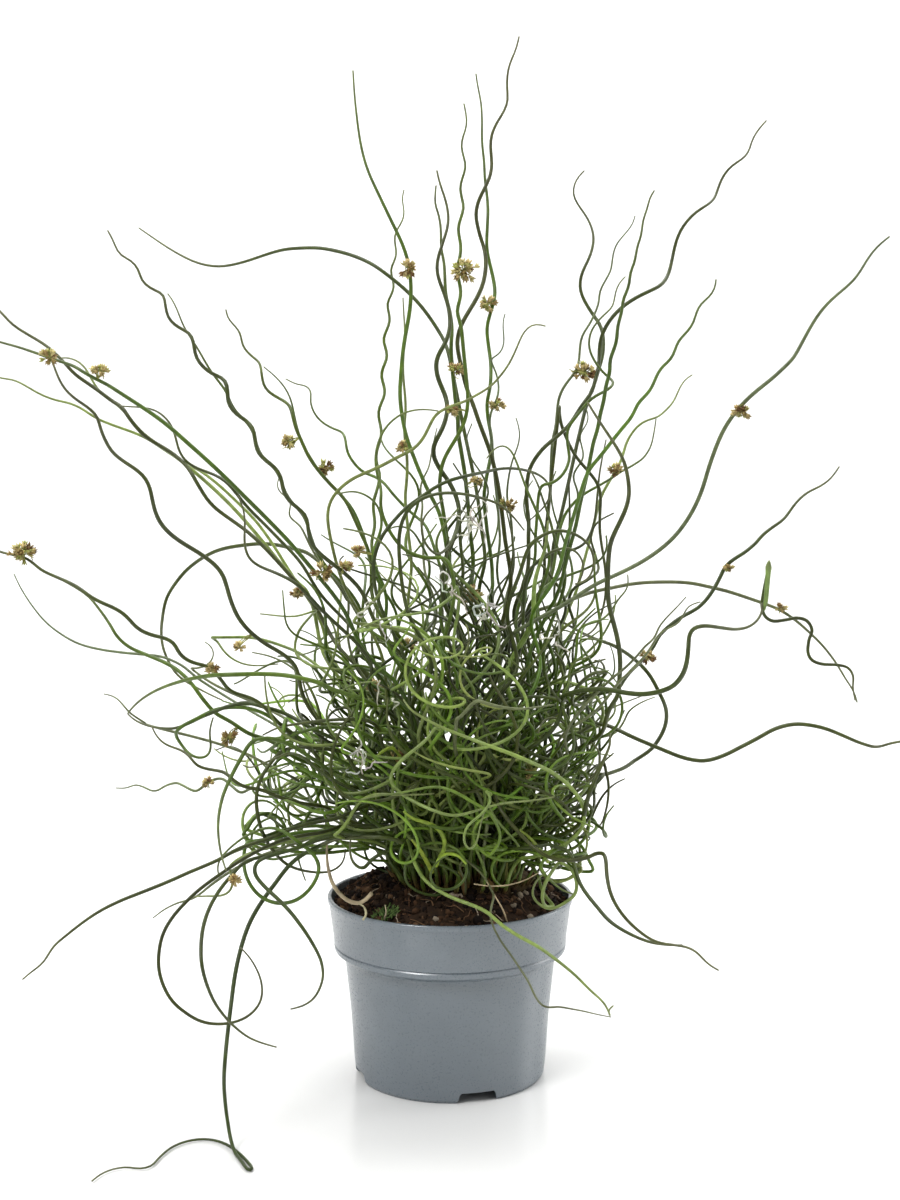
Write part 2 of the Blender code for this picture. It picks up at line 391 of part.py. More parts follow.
# every traced stem starts on its own spot of the crown, close to where it comes down
spots = []
k = 0
while len(spots) < 190:
    rr = 0.0445 * math.sqrt((k + 0.5) / 190.0)
    aa = k * math.pi * (3 - math.sqrt(5))
    x, y = CROWN_X + rr * math.cos(aa), rr * math.sin(aa)
    k += 1
    if rr < 0.0405 and all(math.dist((x, y), tuple(q[:2])) > KNOT_R + 0.0038 for q in knots.values()):
        spots.append((x, y))
    if k > 189:
        break
used = []
singles = [p for p in paths if p["name"].startswith("stem_")]
for p in sorted(singles, key=lambda q: (round(abs(q["fine"][0][0]), 3), q["name"]), reverse=True):
    low = p["fine"][0]
    aim = np.array([CROWN_X + (low[0] - CROWN_X) * 0.42, low[1] * 0.75])
    best = min((s for s in spots if all(math.dist(s, u) > 0.0046 for u in used)),
               key=lambda s: math.dist(s, aim))
    used.append(best)
    x, y = best
    e = 0.0005
    nx = -(crown_height(x + e, y) - crown_height(x - e, y)) / (2 * e)
    ny = -(crown_height(x, y + e) - crown_height(x, y - e)) / (2 * e)
    nrm = np.array([nx, ny, 1.0])
    nrm /= np.linalg.norm(nrm)
    root = np.array([x, y, crown_height(x, y)]) + nrm * 0.0006
    lead = [root, root + nrm * 0.010, root + nrm * 0.020 + np.array([0, 0, 0.004])]
    pts = lead + [q for q in p["fine"][2:-3:5]] + [p["fine"][-1]]
    # keep the way up smooth where the trace starts far from the crown
    p["fine"] = rounded(pts, NFINE * 2)
    p["root"] = nrm


# ---- how many straight pieces each stem gets, and its centre line
def thinned(fine, tol):
    """Keep the points a polyline needs to stay within tol of the fine line."""
    keep = [0, len(fine) - 1]
    stack = [(0, len(fine) - 1)]
    while stack:
        a, b = stack.pop()
        if b - a < 2:
            continue
        d = fine[b] - fine[a]
        L = np.linalg.norm(d)
        if L < 1e-9:
            off = np.linalg.norm(fine[a + 1:b] - fine[a], axis=1)
        else:
            off = np.linalg.norm(np.cross(fine[a + 1:b] - fine[a], d / L), axis=1)
        i = int(off.argmax())
        if off[i] > tol or L > 0.060:
            m = a + 1 + i if off[i] > tol else (a + b) // 2
            keep.append(m)
            stack += [(a, m), (m, b)]
    return sorted(set(keep))


start, P, R, G, FIX, NAMES = [], [], [], [], [], []
for gi, p in enumerate(paths):
    tol = 0.0016 if p["name"].startswith("stem_") else 0.0028
    idx = thinned(p["fine"], tol)
    line = p["fine"][idx]
    if p["name"].startswith("stem_"):
        line = np.vstack([line[:1], line[0] + p["root"] * 0.008, line[1:]])
        if np.linalg.norm(line[2] - line[1]) < 0.006:
            line = np.delete(line, 2, axis=0)
    p["n"] = len(line)
    start.append(len(P))
    for i, q in enumerate(line):
        P.append(q)
        R.append(p["r"])
        G.append(gi)
        tip = p["group"] in PINS and i == len(line) - 1
        onfloor = p["floor"] and q[2] < 0.004
        FIX.append(0.0 if (i < 2 or tip or onfloor) else 1.0)
P = np.array(P)
R = np.array(R)
P[:, 0] = np.clip(P[:, 0], -HALF_X, HALF_X)
P[:, 1] = np.clip(P[:, 1], -HALF_Y, HALF_Y)
P[:, 2] = np.maximum(P[:, 2], R + 0.0001)
G = np.array(G)
FIX = np.array(FIX)
tuft_of = {}
for gi, p in enumerate(paths):
    tuft_of[gi] = p["group"] if p["group"] in knots else None
A = np.array([i for i in range(len(P) - 1) if G[i] == G[i + 1]])
B = A + 1
segG = G[A]


def closest(p1, q1, p2, q2):
    d1, d2, r = q1 - p1, q2 - p2, p1 - p2
    a = (d1 * d1).sum(1)
    e = (d2 * d2).sum(1)
    f = (d2 * r).sum(1)
    c = (d1 * r).sum(1)
    b = (d1 * d2).sum(1)
    den = a * e - b * b
    s = np.where(den > 1e-14, np.clip((b * f - c * e) / np.where(den > 1e-14, den, 1), 0, 1), 0.0)
    t = (b * s + f) / e
    s = np.where(t < 0, np.clip(-c / a, 0, 1), np.where(t > 1, np.clip((b - c) / a, 0, 1), s))
    t = np.clip(t, 0, 1)
    return s, t


def near_pairs(margin):
    M = (P[A] + P[B]) / 2
    h = np.linalg.norm(P[B] - P[A], axis=1) / 2 + R[A] + margin
    out = []
    for i in range(len(A)):
        d = np.linalg.norm(M[i + 1:] - M[i], axis=1)
        js = np.nonzero(d < h[i + 1:] + h[i])[0] + i + 1
        for j in js:
            if segG[i] == segG[j] and abs(A[i] - A[j]) < 3:
                continue
            ti, tj = tuft_of[int(segG[i])], tuft_of[int(segG[j])]
            if ti and ti == tj and segG[i] != segG[j]:
                kn = knots[ti]
                if min(np.linalg.norm(P[A[i]] - kn), np.linalg.norm(P[A[j]] - kn)) < 0.016:
                    continue
            out.append((i, j))
    return np.array(out)


def push(i_seg, w, move, disp):
    """Share a push at parameter w of a segment between its two ends."""
    a, b = A[i_seg], B[i_seg]
    k = (1 - w) ** 2 + w ** 2
    for side_i, wt in ((a, (1 - w) / k), (b, w / k)):
        np.add.at(disp, side_i, move * wt[:, None])


MARGIN = 0.00055
worst = 0.0
for rnd in range(500):
    if rnd % 8 == 0:
        pairs = near_pairs(0.004)
    I, J = pairs[:, 0], pairs[:, 1]
    s, t = closest(P[A[I]], P[B[I]], P[A[J]], P[B[J]])
    c1 = P[A[I]] + (P[B[I]] - P[A[I]]) * s[:, None]
    c2 = P[A[J]] + (P[B[J]] - P[A[J]]) * t[:, None]
    d = c1 - c2
    L = np.linalg.norm(d, axis=1)
    need = R[A[I]] + R[A[J]] + MARGIN
    bad = L < need
    worst = float((need - L).max()) if len(L) else 0.0
    if rnd > 20 and worst < 0.00012:
        break
    disp = np.zeros_like(P)
    if bad.any():
        n = d[bad] / np.maximum(L[bad], 1e-6)[:, None]
        sgn = np.where(np.abs(n[:, 1]) < 0.05, np.where((I[bad] + J[bad]) % 2 == 0, 1.0, -1.0), np.sign(n[:, 1]))
        n = n + np.stack([0 * sgn, 0.9 * sgn, 0 * sgn], axis=1)
        n /= np.linalg.norm(n, axis=1)[:, None]
        amt = np.minimum((need - L)[bad] * 0.55 + 0.00003, 0.0012)[:, None]
        m1 = FIX[A[I[bad]]] + FIX[B[I[bad]]]
        m2 = FIX[A[J[bad]]] + FIX[B[J[bad]]]
        push(I[bad], s[bad], n * amt * np.where(m2 == 0, 2.0, 1.0)[:, None], disp)
        push(J[bad], t[bad], -n * amt * np.where(m1 == 0, 2.0, 1.0)[:, None], disp)
    # pot, peat, crown, floor
    wall_worst = 0.0
    for w in (0.0, 0.25, 0.5, 0.75, 1.0):
        q = P[A] * (1 - w) + P[B] * w
        rr = R[A]
        rho = np.hypot(q[:, 0], q[:, 1])
        hor = q[:, :2] / np.maximum(rho, 1e-6)[:, None]
        mv = np.zeros_like(q)
        low = q[:, 2] < POT_H + rr + 0.0006
        wall_in, wall_out = 0.0672, RIM_R + 0.0006
        outside = low & (rho > 0.0672) & (rho < wall_out + rr)
        over = outside & (q[:, 2] > POT_H - 0.004)
        mv[over, 2] += (POT_H + rr[over] + 0.0007 - q[over, 2])
        side_ = outside & ~over
        mv[side_, :2] += hor[side_] * (wall_out + rr[side_] - rho[side_] + 0.0001)[:, None]
        inside = rho <= 0.0672
        ground = np.array([max(soil_height(x, y), crown_height(x, y) if math.hypot(x - CROWN_X, y) < CROWN_R else 0)
                           for x, y in q[:, :2]])
        sink = inside & (q[:, 2] < ground + rr * 1.3 + 0.0010) & (FIX[A] > 0)
        mv[sink, 2] += (ground + rr * 1.3 + 0.0011 - q[:, 2])[sink]
        fl = (q[:, 2] < rr + 0.0001) & (FIX[A] + FIX[B] > 0)
        mv[fl, 2] += (rr + 0.0002 - q[:, 2])[fl]
        mv[FIX[A] + FIX[B] == 0] = 0.0
        if np.abs(mv).max() > 0:
            wall_worst = max(wall_worst, float(np.abs(mv).max()))
            hit = np.nonzero(np.abs(mv).max(1) > 0)[0]
            push(hit, np.full(len(hit), w), mv[hit] * 0.6, disp)
    lim = np.linalg.norm(disp, axis=1)
    disp *= np.minimum(1.0, 0.0025 / np.maximum(lim, 1e-9))[:, None]
    P = P + disp * FIX[:, None]
    P[:, 0] = np.where(FIX > 0, np.clip(P[:, 0], -HALF_X + 0.004, HALF_X - 0.004), P[:, 0])
    P[:, 1] = np.where(FIX > 0, np.clip(P[:, 1], -HALF_Y + 0.004, HALF_Y - 0.004), P[:, 1])


def tube(name, line, radii, mat, res=0):
    """A closed round stem along a centre line."""
    cu = bpy.data.curves.new(name, "CURVE")
    cu.dimensions = "3D"
    cu.bevel_depth = 1.0
    cu.bevel_resolution = res
    cu.use_fill_caps = True
    cu.twist_mode = "MINIMUM"
    sp = cu.splines.new("POLY")
    sp.points.add(len(line) - 1)
    for i, q in enumerate(line):
        sp.points[i].co = (q[0], q[1], q[2], 1.0)
        sp.points[i].radius = radii[i]
    ob = bpy.data.objects.new(name, cu)
    coll.objects.link(ob)
    cu.materials.append(mat)
    ob = baked(ob)
    smooth(ob.data)
    return ob


for gi, p in enumerate(paths):
    line = P[start[gi]:start[gi] + p["n"]]
    p["line"] = line
    k = np.linspace(0, 1, len(line))
    taper = np.where(k > 0.62, 1.0 - 0.42 * (k - 0.62) / 0.38, 1.0)
    p["radii"] = p["r"] * taper
    if p["name"].startswith("stem_"):
        mat = M_DRY if p["group"] in DRY else (M_STEM_OLD if p["group"] in OLD else M_STEM)
        tube(p["name"], line, p["radii"], mat)

for name, kn in knots.items():
    me = bpy.data.meshes.new(name)
    bm = bmesh.new()
    bmesh.ops.create_icosphere(bm, subdivisions=2, radius=KNOT_R)
    bmesh.ops.translate(bm, verts=bm.verts, vec=Vector(kn))
    bm.to_mesh(me)
    bm.free()
    ob = add_object(name, me, M_STEM)
    for p in paths:
        if p["group"] == name:
            arm = tube(p["name"], p["line"], p["radii"], M_STEM)
            coll.objects.unlink(arm)
            tools_coll.objects.link(arm)
            cut(ob, arm, "UNION")
    new = baked(ob)
    smooth(new.data)

# ---------------------------------------------------------- flower heads
# name, stem it sits on, picture position, size (mm)
FLOWERS = [
    ("flower_01", "t02", (409, 268), 5.0), ("flower_02", "t03", (463, 268), 6.5),
    ("flower_03", "t06", (487, 303), 4.5), ("flower_04", "t05", (457, 370), 4.5),
    ("flower_05", "r08", (743, 411), 4.5), ("flower_06", "l07", (24, 553), 6.5),
    ("flower_07", "l04", (99, 372), 4.5), ("flower_08", "r11", (780, 608), 4.5),
]
all_a, all_b, all_r = P[A], P[B], R[A]


def clearance(q):
    d = all_b - all_a
    t = np.clip(((q - all_a) * d).sum(1) / np.maximum((d * d).sum(1), 1e-12), 0, 1)
    return float((np.linalg.norm(q - (all_a + d * t[:, None]), axis=1) - all_r).min())


for name, on, (px, py), size in FLOWERS:
    p = [q for q in paths if q["group"] == on][0]
    best = None
    for a, b in zip(p["line"][:-1], p["line"][1:]):
        for t in np.linspace(0, 1, 12):
            q = a * (1 - t) + b * t
            v = Vector(q) - EYE
            depth = v.y * math.cos(TILT) - v.z * math.sin(TILT)
            ux = 450 + SCALE * v.x / depth
            uy = 600 - SCALE * (v.y * math.sin(TILT) + v.z * math.cos(TILT)) / depth
            e = math.hypot(ux - px, uy - py)
            if best is None or e < best[0]:
                best = (e, q, b - a)
    _, q, run = best
    run = run / np.linalg.norm(run)
    s1 = np.cross(run, [0, 1, 0])
    s1 /= np.linalg.norm(s1)
    s2 = np.cross(run, s1)
    rad = size / 1000.0
    cand = []
    for i in range(24):
        a = math.tau * i / 24
        dirn = s1 * math.cos(a) + s2 * math.sin(a)
        c = q + dirn * (p["r"] + GAP + 0.0003 + rad)
        cand.append((round(min(clearance(c) - rad - GAP, 0.0002), 5), -i if i < 12 else i - 24, i, c))
    best = max(cand)
    c = best[3]
    room = clearance(c) - GAP - 0.0001
    rad = min(rad, room)
    me = bpy.data.meshes.new(name)
    bm = bmesh.new()
    bmesh.ops.create_icosphere(bm, subdivisions=2, radius=rad)
    for i, v in enumerate(bm.verts):
        k = 0.80 + 0.20 * math.sin(i * 2.4)
        v.co *= k if k < 1 else 1
    bmesh.ops.translate(bm, verts=bm.verts, vec=Vector(c))
    bm.to_mesh(me)
    bm.free()
    add_object(name, me, M_FLOWER)

# -------------------------------------------------------- moss on the peat
me = bpy.data.meshes.new("moss_tuft")
bm = bmesh.new()
bmesh.ops.create_icosphere(bm, subdivisions=2, radius=0.005)
for i, v in enumerate(bm.verts):
    v.co *= 0.86 + 0.14 * math.sin(i * 1.9)
    v.co.z *= 0.55
mx, my = -0.0305, -0.0475
bmesh.ops.translate(bm, verts=bm.verts, vec=Vector((mx, my, max(soil_height(mx + 0.0035 * math.cos(a), my + 0.0035 * math.sin(a)) for a in (0, 1.57, 3.14, 4.71)) + 0.0036)))
bm.to_mesh(me)
bm.free()
moss = add_object("moss_tuft", me, M_MOSS)
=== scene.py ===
import json
import math

import bmesh
import bpy
import numpy as np
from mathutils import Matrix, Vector, noise

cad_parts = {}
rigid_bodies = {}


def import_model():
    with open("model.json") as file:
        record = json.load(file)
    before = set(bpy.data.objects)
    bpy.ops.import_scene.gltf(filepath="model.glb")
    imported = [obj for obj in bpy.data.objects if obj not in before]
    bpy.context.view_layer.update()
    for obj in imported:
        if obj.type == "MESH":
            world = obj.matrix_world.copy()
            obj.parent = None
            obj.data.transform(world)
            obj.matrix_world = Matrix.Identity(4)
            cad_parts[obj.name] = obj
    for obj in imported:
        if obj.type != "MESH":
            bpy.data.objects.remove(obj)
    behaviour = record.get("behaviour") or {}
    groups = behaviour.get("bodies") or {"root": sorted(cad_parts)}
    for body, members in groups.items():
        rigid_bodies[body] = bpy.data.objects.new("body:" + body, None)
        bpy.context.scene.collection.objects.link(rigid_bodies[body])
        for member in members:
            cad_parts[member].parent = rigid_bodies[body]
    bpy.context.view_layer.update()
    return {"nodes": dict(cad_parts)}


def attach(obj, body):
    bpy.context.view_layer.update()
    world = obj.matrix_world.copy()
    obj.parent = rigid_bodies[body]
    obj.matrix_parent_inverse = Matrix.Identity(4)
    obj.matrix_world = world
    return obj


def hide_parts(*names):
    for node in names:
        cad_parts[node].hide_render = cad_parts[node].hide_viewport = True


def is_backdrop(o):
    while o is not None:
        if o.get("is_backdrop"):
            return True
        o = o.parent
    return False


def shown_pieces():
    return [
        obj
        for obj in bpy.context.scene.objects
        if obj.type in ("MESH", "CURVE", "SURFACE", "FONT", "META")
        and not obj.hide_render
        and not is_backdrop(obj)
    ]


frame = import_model()
scene = bpy.context.scene
for nm, ob in frame["nodes"].items():
    for poly in ob.data.polygons:
        poly.use_smooth = True

# ------------------------------------------------------------ dimensions
POT_H = 0.104
RIM_R = 0.0700
BAND_R = 0.0661
BAND_Z = 0.0750
BODY_R = 0.0598
BODY_Z = 0.0680
FOOT_R = 0.0541
WALL = 0.0016
FLOOR_Z = 0.0055
NOTCH_AT = (16.5, 106.5, 196.5, 286.5)
NOTCH_W = 0.0250
NOTCH_H = 0.0060
CROWN_X = 0.008
CROWN_R = 0.0460
CROWN_TOP = 0.1240
HALF_X = 0.2900
HALF_Y = 0.1960

EYE = np.array([0.0, -0.984, 0.364])
TILT = math.radians(5.3)
SCALE = 1750.0
FWD = np.array([0.0, math.cos(TILT), -math.sin(TILT)])
UP = np.array([0.0, math.sin(TILT), math.cos(TILT)])


def at(px, py, y):
    """The point seen at photograph position px, py on the plane Y = y."""
    ray = FWD + np.array([1.0, 0.0, 0.0]) * ((px - 450.0) / SCALE) + UP * ((600.0 - py) / SCALE)
    return EYE + ray * ((y - EYE[1]) / ray[1])


def on_floor(px, py, z):
    ray = FWD + np.array([1.0, 0.0, 0.0]) * ((px - 450.0) / SCALE) + UP * ((600.0 - py) / SCALE)
    return EYE + ray * ((z - EYE[2]) / ray[2])


SOIL = [(0.0, 0.1150), (0.030, 0.1150), (0.0500, 0.1092), (0.0575, 0.1042), (0.0625, 0.1008), (0.0668, 0.0986)]
CROWN = [(0.0, CROWN_TOP), (0.012, CROWN_TOP - 0.0008), (0.024, CROWN_TOP - 0.0032),
         (0.034, CROWN_TOP - 0.0070), (0.0415, CROWN_TOP - 0.0125), (CROWN_R, CROWN_TOP - 0.0200)]


def soil_height(x, y):
    return float(np.interp(math.hypot(x, y), [p[0] for p in SOIL], [p[1] for p in SOIL]))


def crown_height(x, y):
    return float(np.interp(math.hypot(x - CROWN_X, y), [p[0] for p in CROWN], [p[1] for p in CROWN]))


# -------------------------------------------------------------- materials
def new_material(name):
    m = bpy.data.materials.new(name)
    m.use_nodes = True
    nt = m.node_tree
    return m, nt, nt.nodes["Principled BSDF"]


def node(nt, kind, **sets):
    n = nt.nodes.new(kind)
    for k, v in sets.items():
        if k.startswith("in_"):
            n.inputs[int(k[3:])].default_value = v
        else:
            setattr(n, k, v)
    return n


def stem_material(name, rough, spec, bump):
    """Waxy stem: colour from the mesh, mottled, with fine noise in its roughness and bump."""
    m, nt, b = new_material(name)
    att = node(nt, "ShaderNodeAttribute", attribute_name="tint")
    geo = node(nt, "ShaderNodeTexCoord")
    n1 = node(nt, "ShaderNodeTexNoise")
    n1.inputs["Scale"].default_value = 260.0
    n1.inputs["Detail"].default_value = 4.0
    nt.links.new(geo.outputs["Object"], n1.inputs["Vector"])
    n2 = node(nt, "ShaderNodeTexNoise")
    n2.inputs["Scale"].default_value = 1500.0
    n2.inputs["Detail"].default_value = 2.0
    nt.links.new(geo.outputs["Object"], n2.inputs["Vector"])
    ramp = node(nt, "ShaderNodeMapRange")
    ramp.inputs["From Min"].default_value = 0.3
    ramp.inputs["From Max"].default_value = 0.7
    ramp.inputs["To Min"].default_value = 0.72
    ramp.inputs["To Max"].default_value = 1.30
    nt.links.new(n1.outputs["Fac"], ramp.inputs["Value"])
    mul = node(nt, "ShaderNodeVectorMath", operation="SCALE")
    nt.links.new(att.outputs["Color"], mul.inputs[0])
    nt.links.new(ramp.outputs["Result"], mul.inputs["Scale"])
    nt.links.new(mul.outputs[0], b.inputs["Base Color"])
    rr = node(nt, "ShaderNodeMapRange")
    rr.inputs["To Min"].default_value = rough - 0.10
    rr.inputs["To Max"].default_value = rough + 0.12
    nt.links.new(n2.outputs["Fac"], rr.inputs["Value"])
    nt.links.new(rr.outputs["Result"], b.inputs["Roughness"])
    b.inputs["Specular IOR Level"].default_value = spec
    bm_ = node(nt, "ShaderNodeBump")
    bm_.inputs["Strength"].default_value = bump
    bm_.inputs["Distance"].default_value = 0.0003
    nt.links.new(n2.outputs["Fac"], bm_.inputs["Height"])
    nt.links.new(bm_.outputs["Normal"], b.inputs["Normal"])
    return m


M_STEM = stem_material("rush_stem", 0.41, 0.34, 0.25)
M_DRY = stem_material("dry_stem", 0.65, 0.25, 0.5)
M_FLOWER = stem_material("floret", 0.75, 0.15, 0.4)
M_SOIL = stem_material("peat_crumb", 0.92, 0.12, 0.6)
M_MOSS = stem_material("moss_leaf", 0.8, 0.15, 0.3)


def pot_material():
    m, nt, b = new_material("pot_blue_grey")
    geo = node(nt, "ShaderNodeTexCoord")
    big = node(nt, "ShaderNodeTexNoise")
    big.inputs["Scale"].default_value = 22.0
    big.inputs["Detail"].default_value = 5.0
    nt.links.new(geo.outputs["Object"], big.inputs["Vector"])
    fine = node(nt, "ShaderNodeTexNoise")
    fine.inputs["Scale"].default_value = 900.0
    fine.inputs["Detail"].default_value = 3.0
    nt.links.new(geo.outputs["Object"], fine.inputs["Vector"])
    ramp = node(nt, "ShaderNodeValToRGB")
    ramp.color_ramp.elements[0].position = 0.30
    ramp.color_ramp.elements[0].color = (0.112, 0.136, 0.158, 1)
    ramp.color_ramp.elements[1].position = 0.72
    ramp.color_ramp.elements[1].color = (0.136, 0.164, 0.188, 1)
    nt.links.new(big.outputs["Fac"], ramp.inputs["Fac"])
    nt.links.new(ramp.outputs["Color"], b.inputs["Base Color"])
    rr = node(nt, "ShaderNodeMapRange")
    rr.inputs["To Min"].default_value = 0.25
    rr.inputs["To Max"].default_value = 0.31
    nt.links.new(fine.outputs["Fac"], rr.inputs["Value"])
    nt.links.new(rr.outputs["Result"], b.inputs["Roughness"])
    b.inputs["Specular IOR Level"].default_value = 0.95
    return m


M_POT = pot_material()


# ------------------------------------------------------------ mesh pieces
class Heap:
    """Vertices, faces and colours gathered into one mesh object."""

    def __init__(self, name, mat, slot):
        self.name, self.mat, self.slot = name, mat, slot
        self.v, self.f, self.c, self.n = [], [], [], 0

    def add(self, verts, faces, cols):
        self.v.append(np.asarray(verts, float))
        self.f.append([tuple(i + self.n for i in q) for q in faces])
        self.c.append(np.asarray(cols, float))
        self.n += len(verts)

    def build(self, replaces=()):
        me = bpy.data.meshes.new(self.name)
        v = np.concatenate(self.v)
        c = np.concatenate(self.c)
        faces = [q for part in self.f for q in part]
        me.from_pydata(v.tolist(), [], faces)
        att = me.color_attributes.new("tint", "FLOAT_COLOR", "POINT")
        att.data.foreach_set("color", np.hstack([c, np.ones((len(c), 1))]).astype(np.float32).ravel())
        me.polygons.foreach_set("use_smooth", [True] * len(me.polygons))
        me.materials.append(self.mat)
        ob = bpy.data.objects.new(self.name, me)
        scene.collection.objects.link(ob)
        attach(ob, "root")
        if replaces:
            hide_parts(*replaces)
        return ob


def tube(line, rad, sides, wob=None):
    """Closed round stem: verts, faces and each vertex's place along it."""
    p = np.asarray(line, float)
    n = len(p)
    t = np.gradient(p, axis=0)
    t /= np.linalg.norm(t, axis=1)[:, None] + 1e-12
    a = np.cross(t[0], [0.31, 0.17, 0.93])
    if np.linalg.norm(a) < 1e-3:
        a = np.cross(t[0], [1.0, 0.0, 0.0])
    a /= np.linalg.norm(a)
    A = np.zeros_like(p)
    for i in range(n):
        a = a - t[i] * np.dot(a, t[i])
        a /= np.linalg.norm(a) + 1e-12
        A[i] = a
    B = np.cross(t, A)
    ang = np.arange(sides) * math.tau / sides
    ring = (A[:, None, :] * np.cos(ang)[None, :, None] + B[:, None, :] * np.sin(ang)[None, :, None])
    rad = np.asarray(rad, float)
    v = p[:, None, :] + ring * rad[:, None, None]
    v = v.reshape(-1, 3)
    tip = p[-1] + t[-1] * rad[-1] * 1.6
    foot = p[0] - t[0] * rad[0] * 0.4
    v = np.vstack([v, tip, foot])
    faces = []
    for i in range(n - 1):
        o, q = i * sides, (i + 1) * sides
        for k in range(sides):
            k2 = (k + 1) % sides
            faces.append((o + k, o + k2, q + k2, q + k))
    ti, fi = n * sides, n * sides + 1
    o = (n - 1) * sides
    for k in range(sides):
        faces.append((o + k, o + (k + 1) % sides, ti))
        faces.append(((k + 1) % sides, k, fi))
    s = np.repeat(np.linspace(0, 1, n), sides)
    return v, faces, np.concatenate([s, [1.0, 0.0]])


def rounded(pts, n, sub=10):
    p = np.asarray(pts, float)
    p = np.vstack([2 * p[0] - p[1], p, 2 * p[-1] - p[-2]])
    a, b, c, d = p[:-3], p[1:-2], p[2:-1], p[3:]
    out = []
    for t in np.linspace(0, 1, sub, endpoint=False):
        out.append(0.5 * ((2 * b) + (c - a) * t + (2 * a - 5 * b + 4 * c - d) * t * t
                          + (3 * b - a - 3 * c + d) * t ** 3))
    out = np.stack(out, axis=1).reshape(-1, p.shape[1])
    out = np.vstack([out, p[-2]])
    s = np.concatenate([[0], np.cumsum(np.linalg.norm(np.diff(out, axis=0), axis=1))])
    u = np.linspace(0, s[-1], n)
    return np.stack([np.interp(u, s, out[:, k]) for k in range(out.shape[1])], axis=1)


def softened(line, w):
    if w < 1:
        return line
    kern = np.hanning(2 * w + 3)[1:-1]
    kern /= kern.sum()
    pad = np.vstack([np.repeat(line[:1], w, axis=0), line, np.repeat(line[-1:], w, axis=0)])
    out = np.stack([np.convolve(pad[:, k], kern, mode="valid") for k in range(line.shape[1])], axis=1)
    out[0], out[-1] = line[0], line[-1]
    return out


def corkscrew(line):
    """Depth swing that turns a wavy drawn line into a winding one."""
    n = len(line)
    w = max(3, n // 9)
    pad = np.pad(line, ((w, w), (0, 0)), mode="edge")
    kern = np.ones(2 * w + 1) / (2 * w + 1)
    soft = np.stack([np.convolve(pad[:, k], kern, mode="valid") for k in range(line.shape[1])], axis=1)
    run = np.gradient(soft, axis=0)
    run /= np.linalg.norm(run, axis=1)[:, None] + 1e-9
    side = np.cross(run, np.array([0.0, 1.0, 0.0]))
    off = np.einsum("ij,ij->i", line - soft, side)
    swing = np.gradient(off)
    k = np.sqrt((off ** 2).mean()) / (np.sqrt((swing ** 2).mean()) + 1e-9)
    return np.clip(swing * k, -0.012, 0.012)


# colours, linear
C = {
    "olive": np.array([0.037, 0.046, 0.007]),
    "green": np.array([0.063, 0.098, 0.009]),
    "bright": np.array([0.112, 0.172, 0.020]),
    # paler grey-green stems: partly the stems' own tone and partly painted highlight for stems that catch the light
    "sage_and_highlight": np.array([0.155, 0.190, 0.058]),
    "young": np.array([0.210, 0.280, 0.028]),
    "dry": np.array([0.440, 0.370, 0.230]),
    "white": np.array([0.370, 0.375, 0.310]),
    "grey": np.array([0.105, 0.112, 0.060]),
    "tip": np.array([0.150, 0.135, 0.088]),
    "base": np.array([0.085, 0.130, 0.020]),
    "sheath": np.array([0.090, 0.048, 0.022]),
}


def stem_colours(s, kind, rng, tipfade=1.0, sheath=True):
    main = C[kind] * rng.uniform(0.82, 1.22) * (1 + rng.normal(0, 0.05, 3))
    col = np.repeat(main[None, :], len(s), axis=0)
    if kind in ("olive", "green", "bright", "sage_and_highlight"):
        k = np.clip((0.30 - s) / 0.30, 0, 1)[:, None]
        col = col * (1 - 0.40 * k) + C["base"] * 0.40 * k
        k = np.clip((s - 0.74) / 0.26, 0, 1)[:, None] ** 1.5 * tipfade
        col = col * (1 - 0.6 * k) + C["tip"] * 0.6 * k
    if sheath:
        k = np.clip((0.035 - s) / 0.02, 0, 1)[:, None]
        col = col * (1 - k) + C["sheath"] * k
    ph = rng.uniform(0, 6.28)
    col = col * (1 + 0.10 * np.sin(s * rng.uniform(9, 30) + ph))[:, None]
    if kind in ("olive", "green", "bright", "sage_and_highlight", "grey"):
        col = col * np.array([0.94, 1.05, 0.80])
    return np.clip(col, 0.004, 0.9)


def stem_radii(n, r, tip=0.42, start=0.70):
    k = np.linspace(0, 1, n)
    rad = r * (1 - (1 - tip) * (np.clip(k - start, 0, 1) / (1 - start)) ** 1.4)
    return rad * (1 + 0.10 * np.clip(0.06 - k, 0, 1) / 0.06)


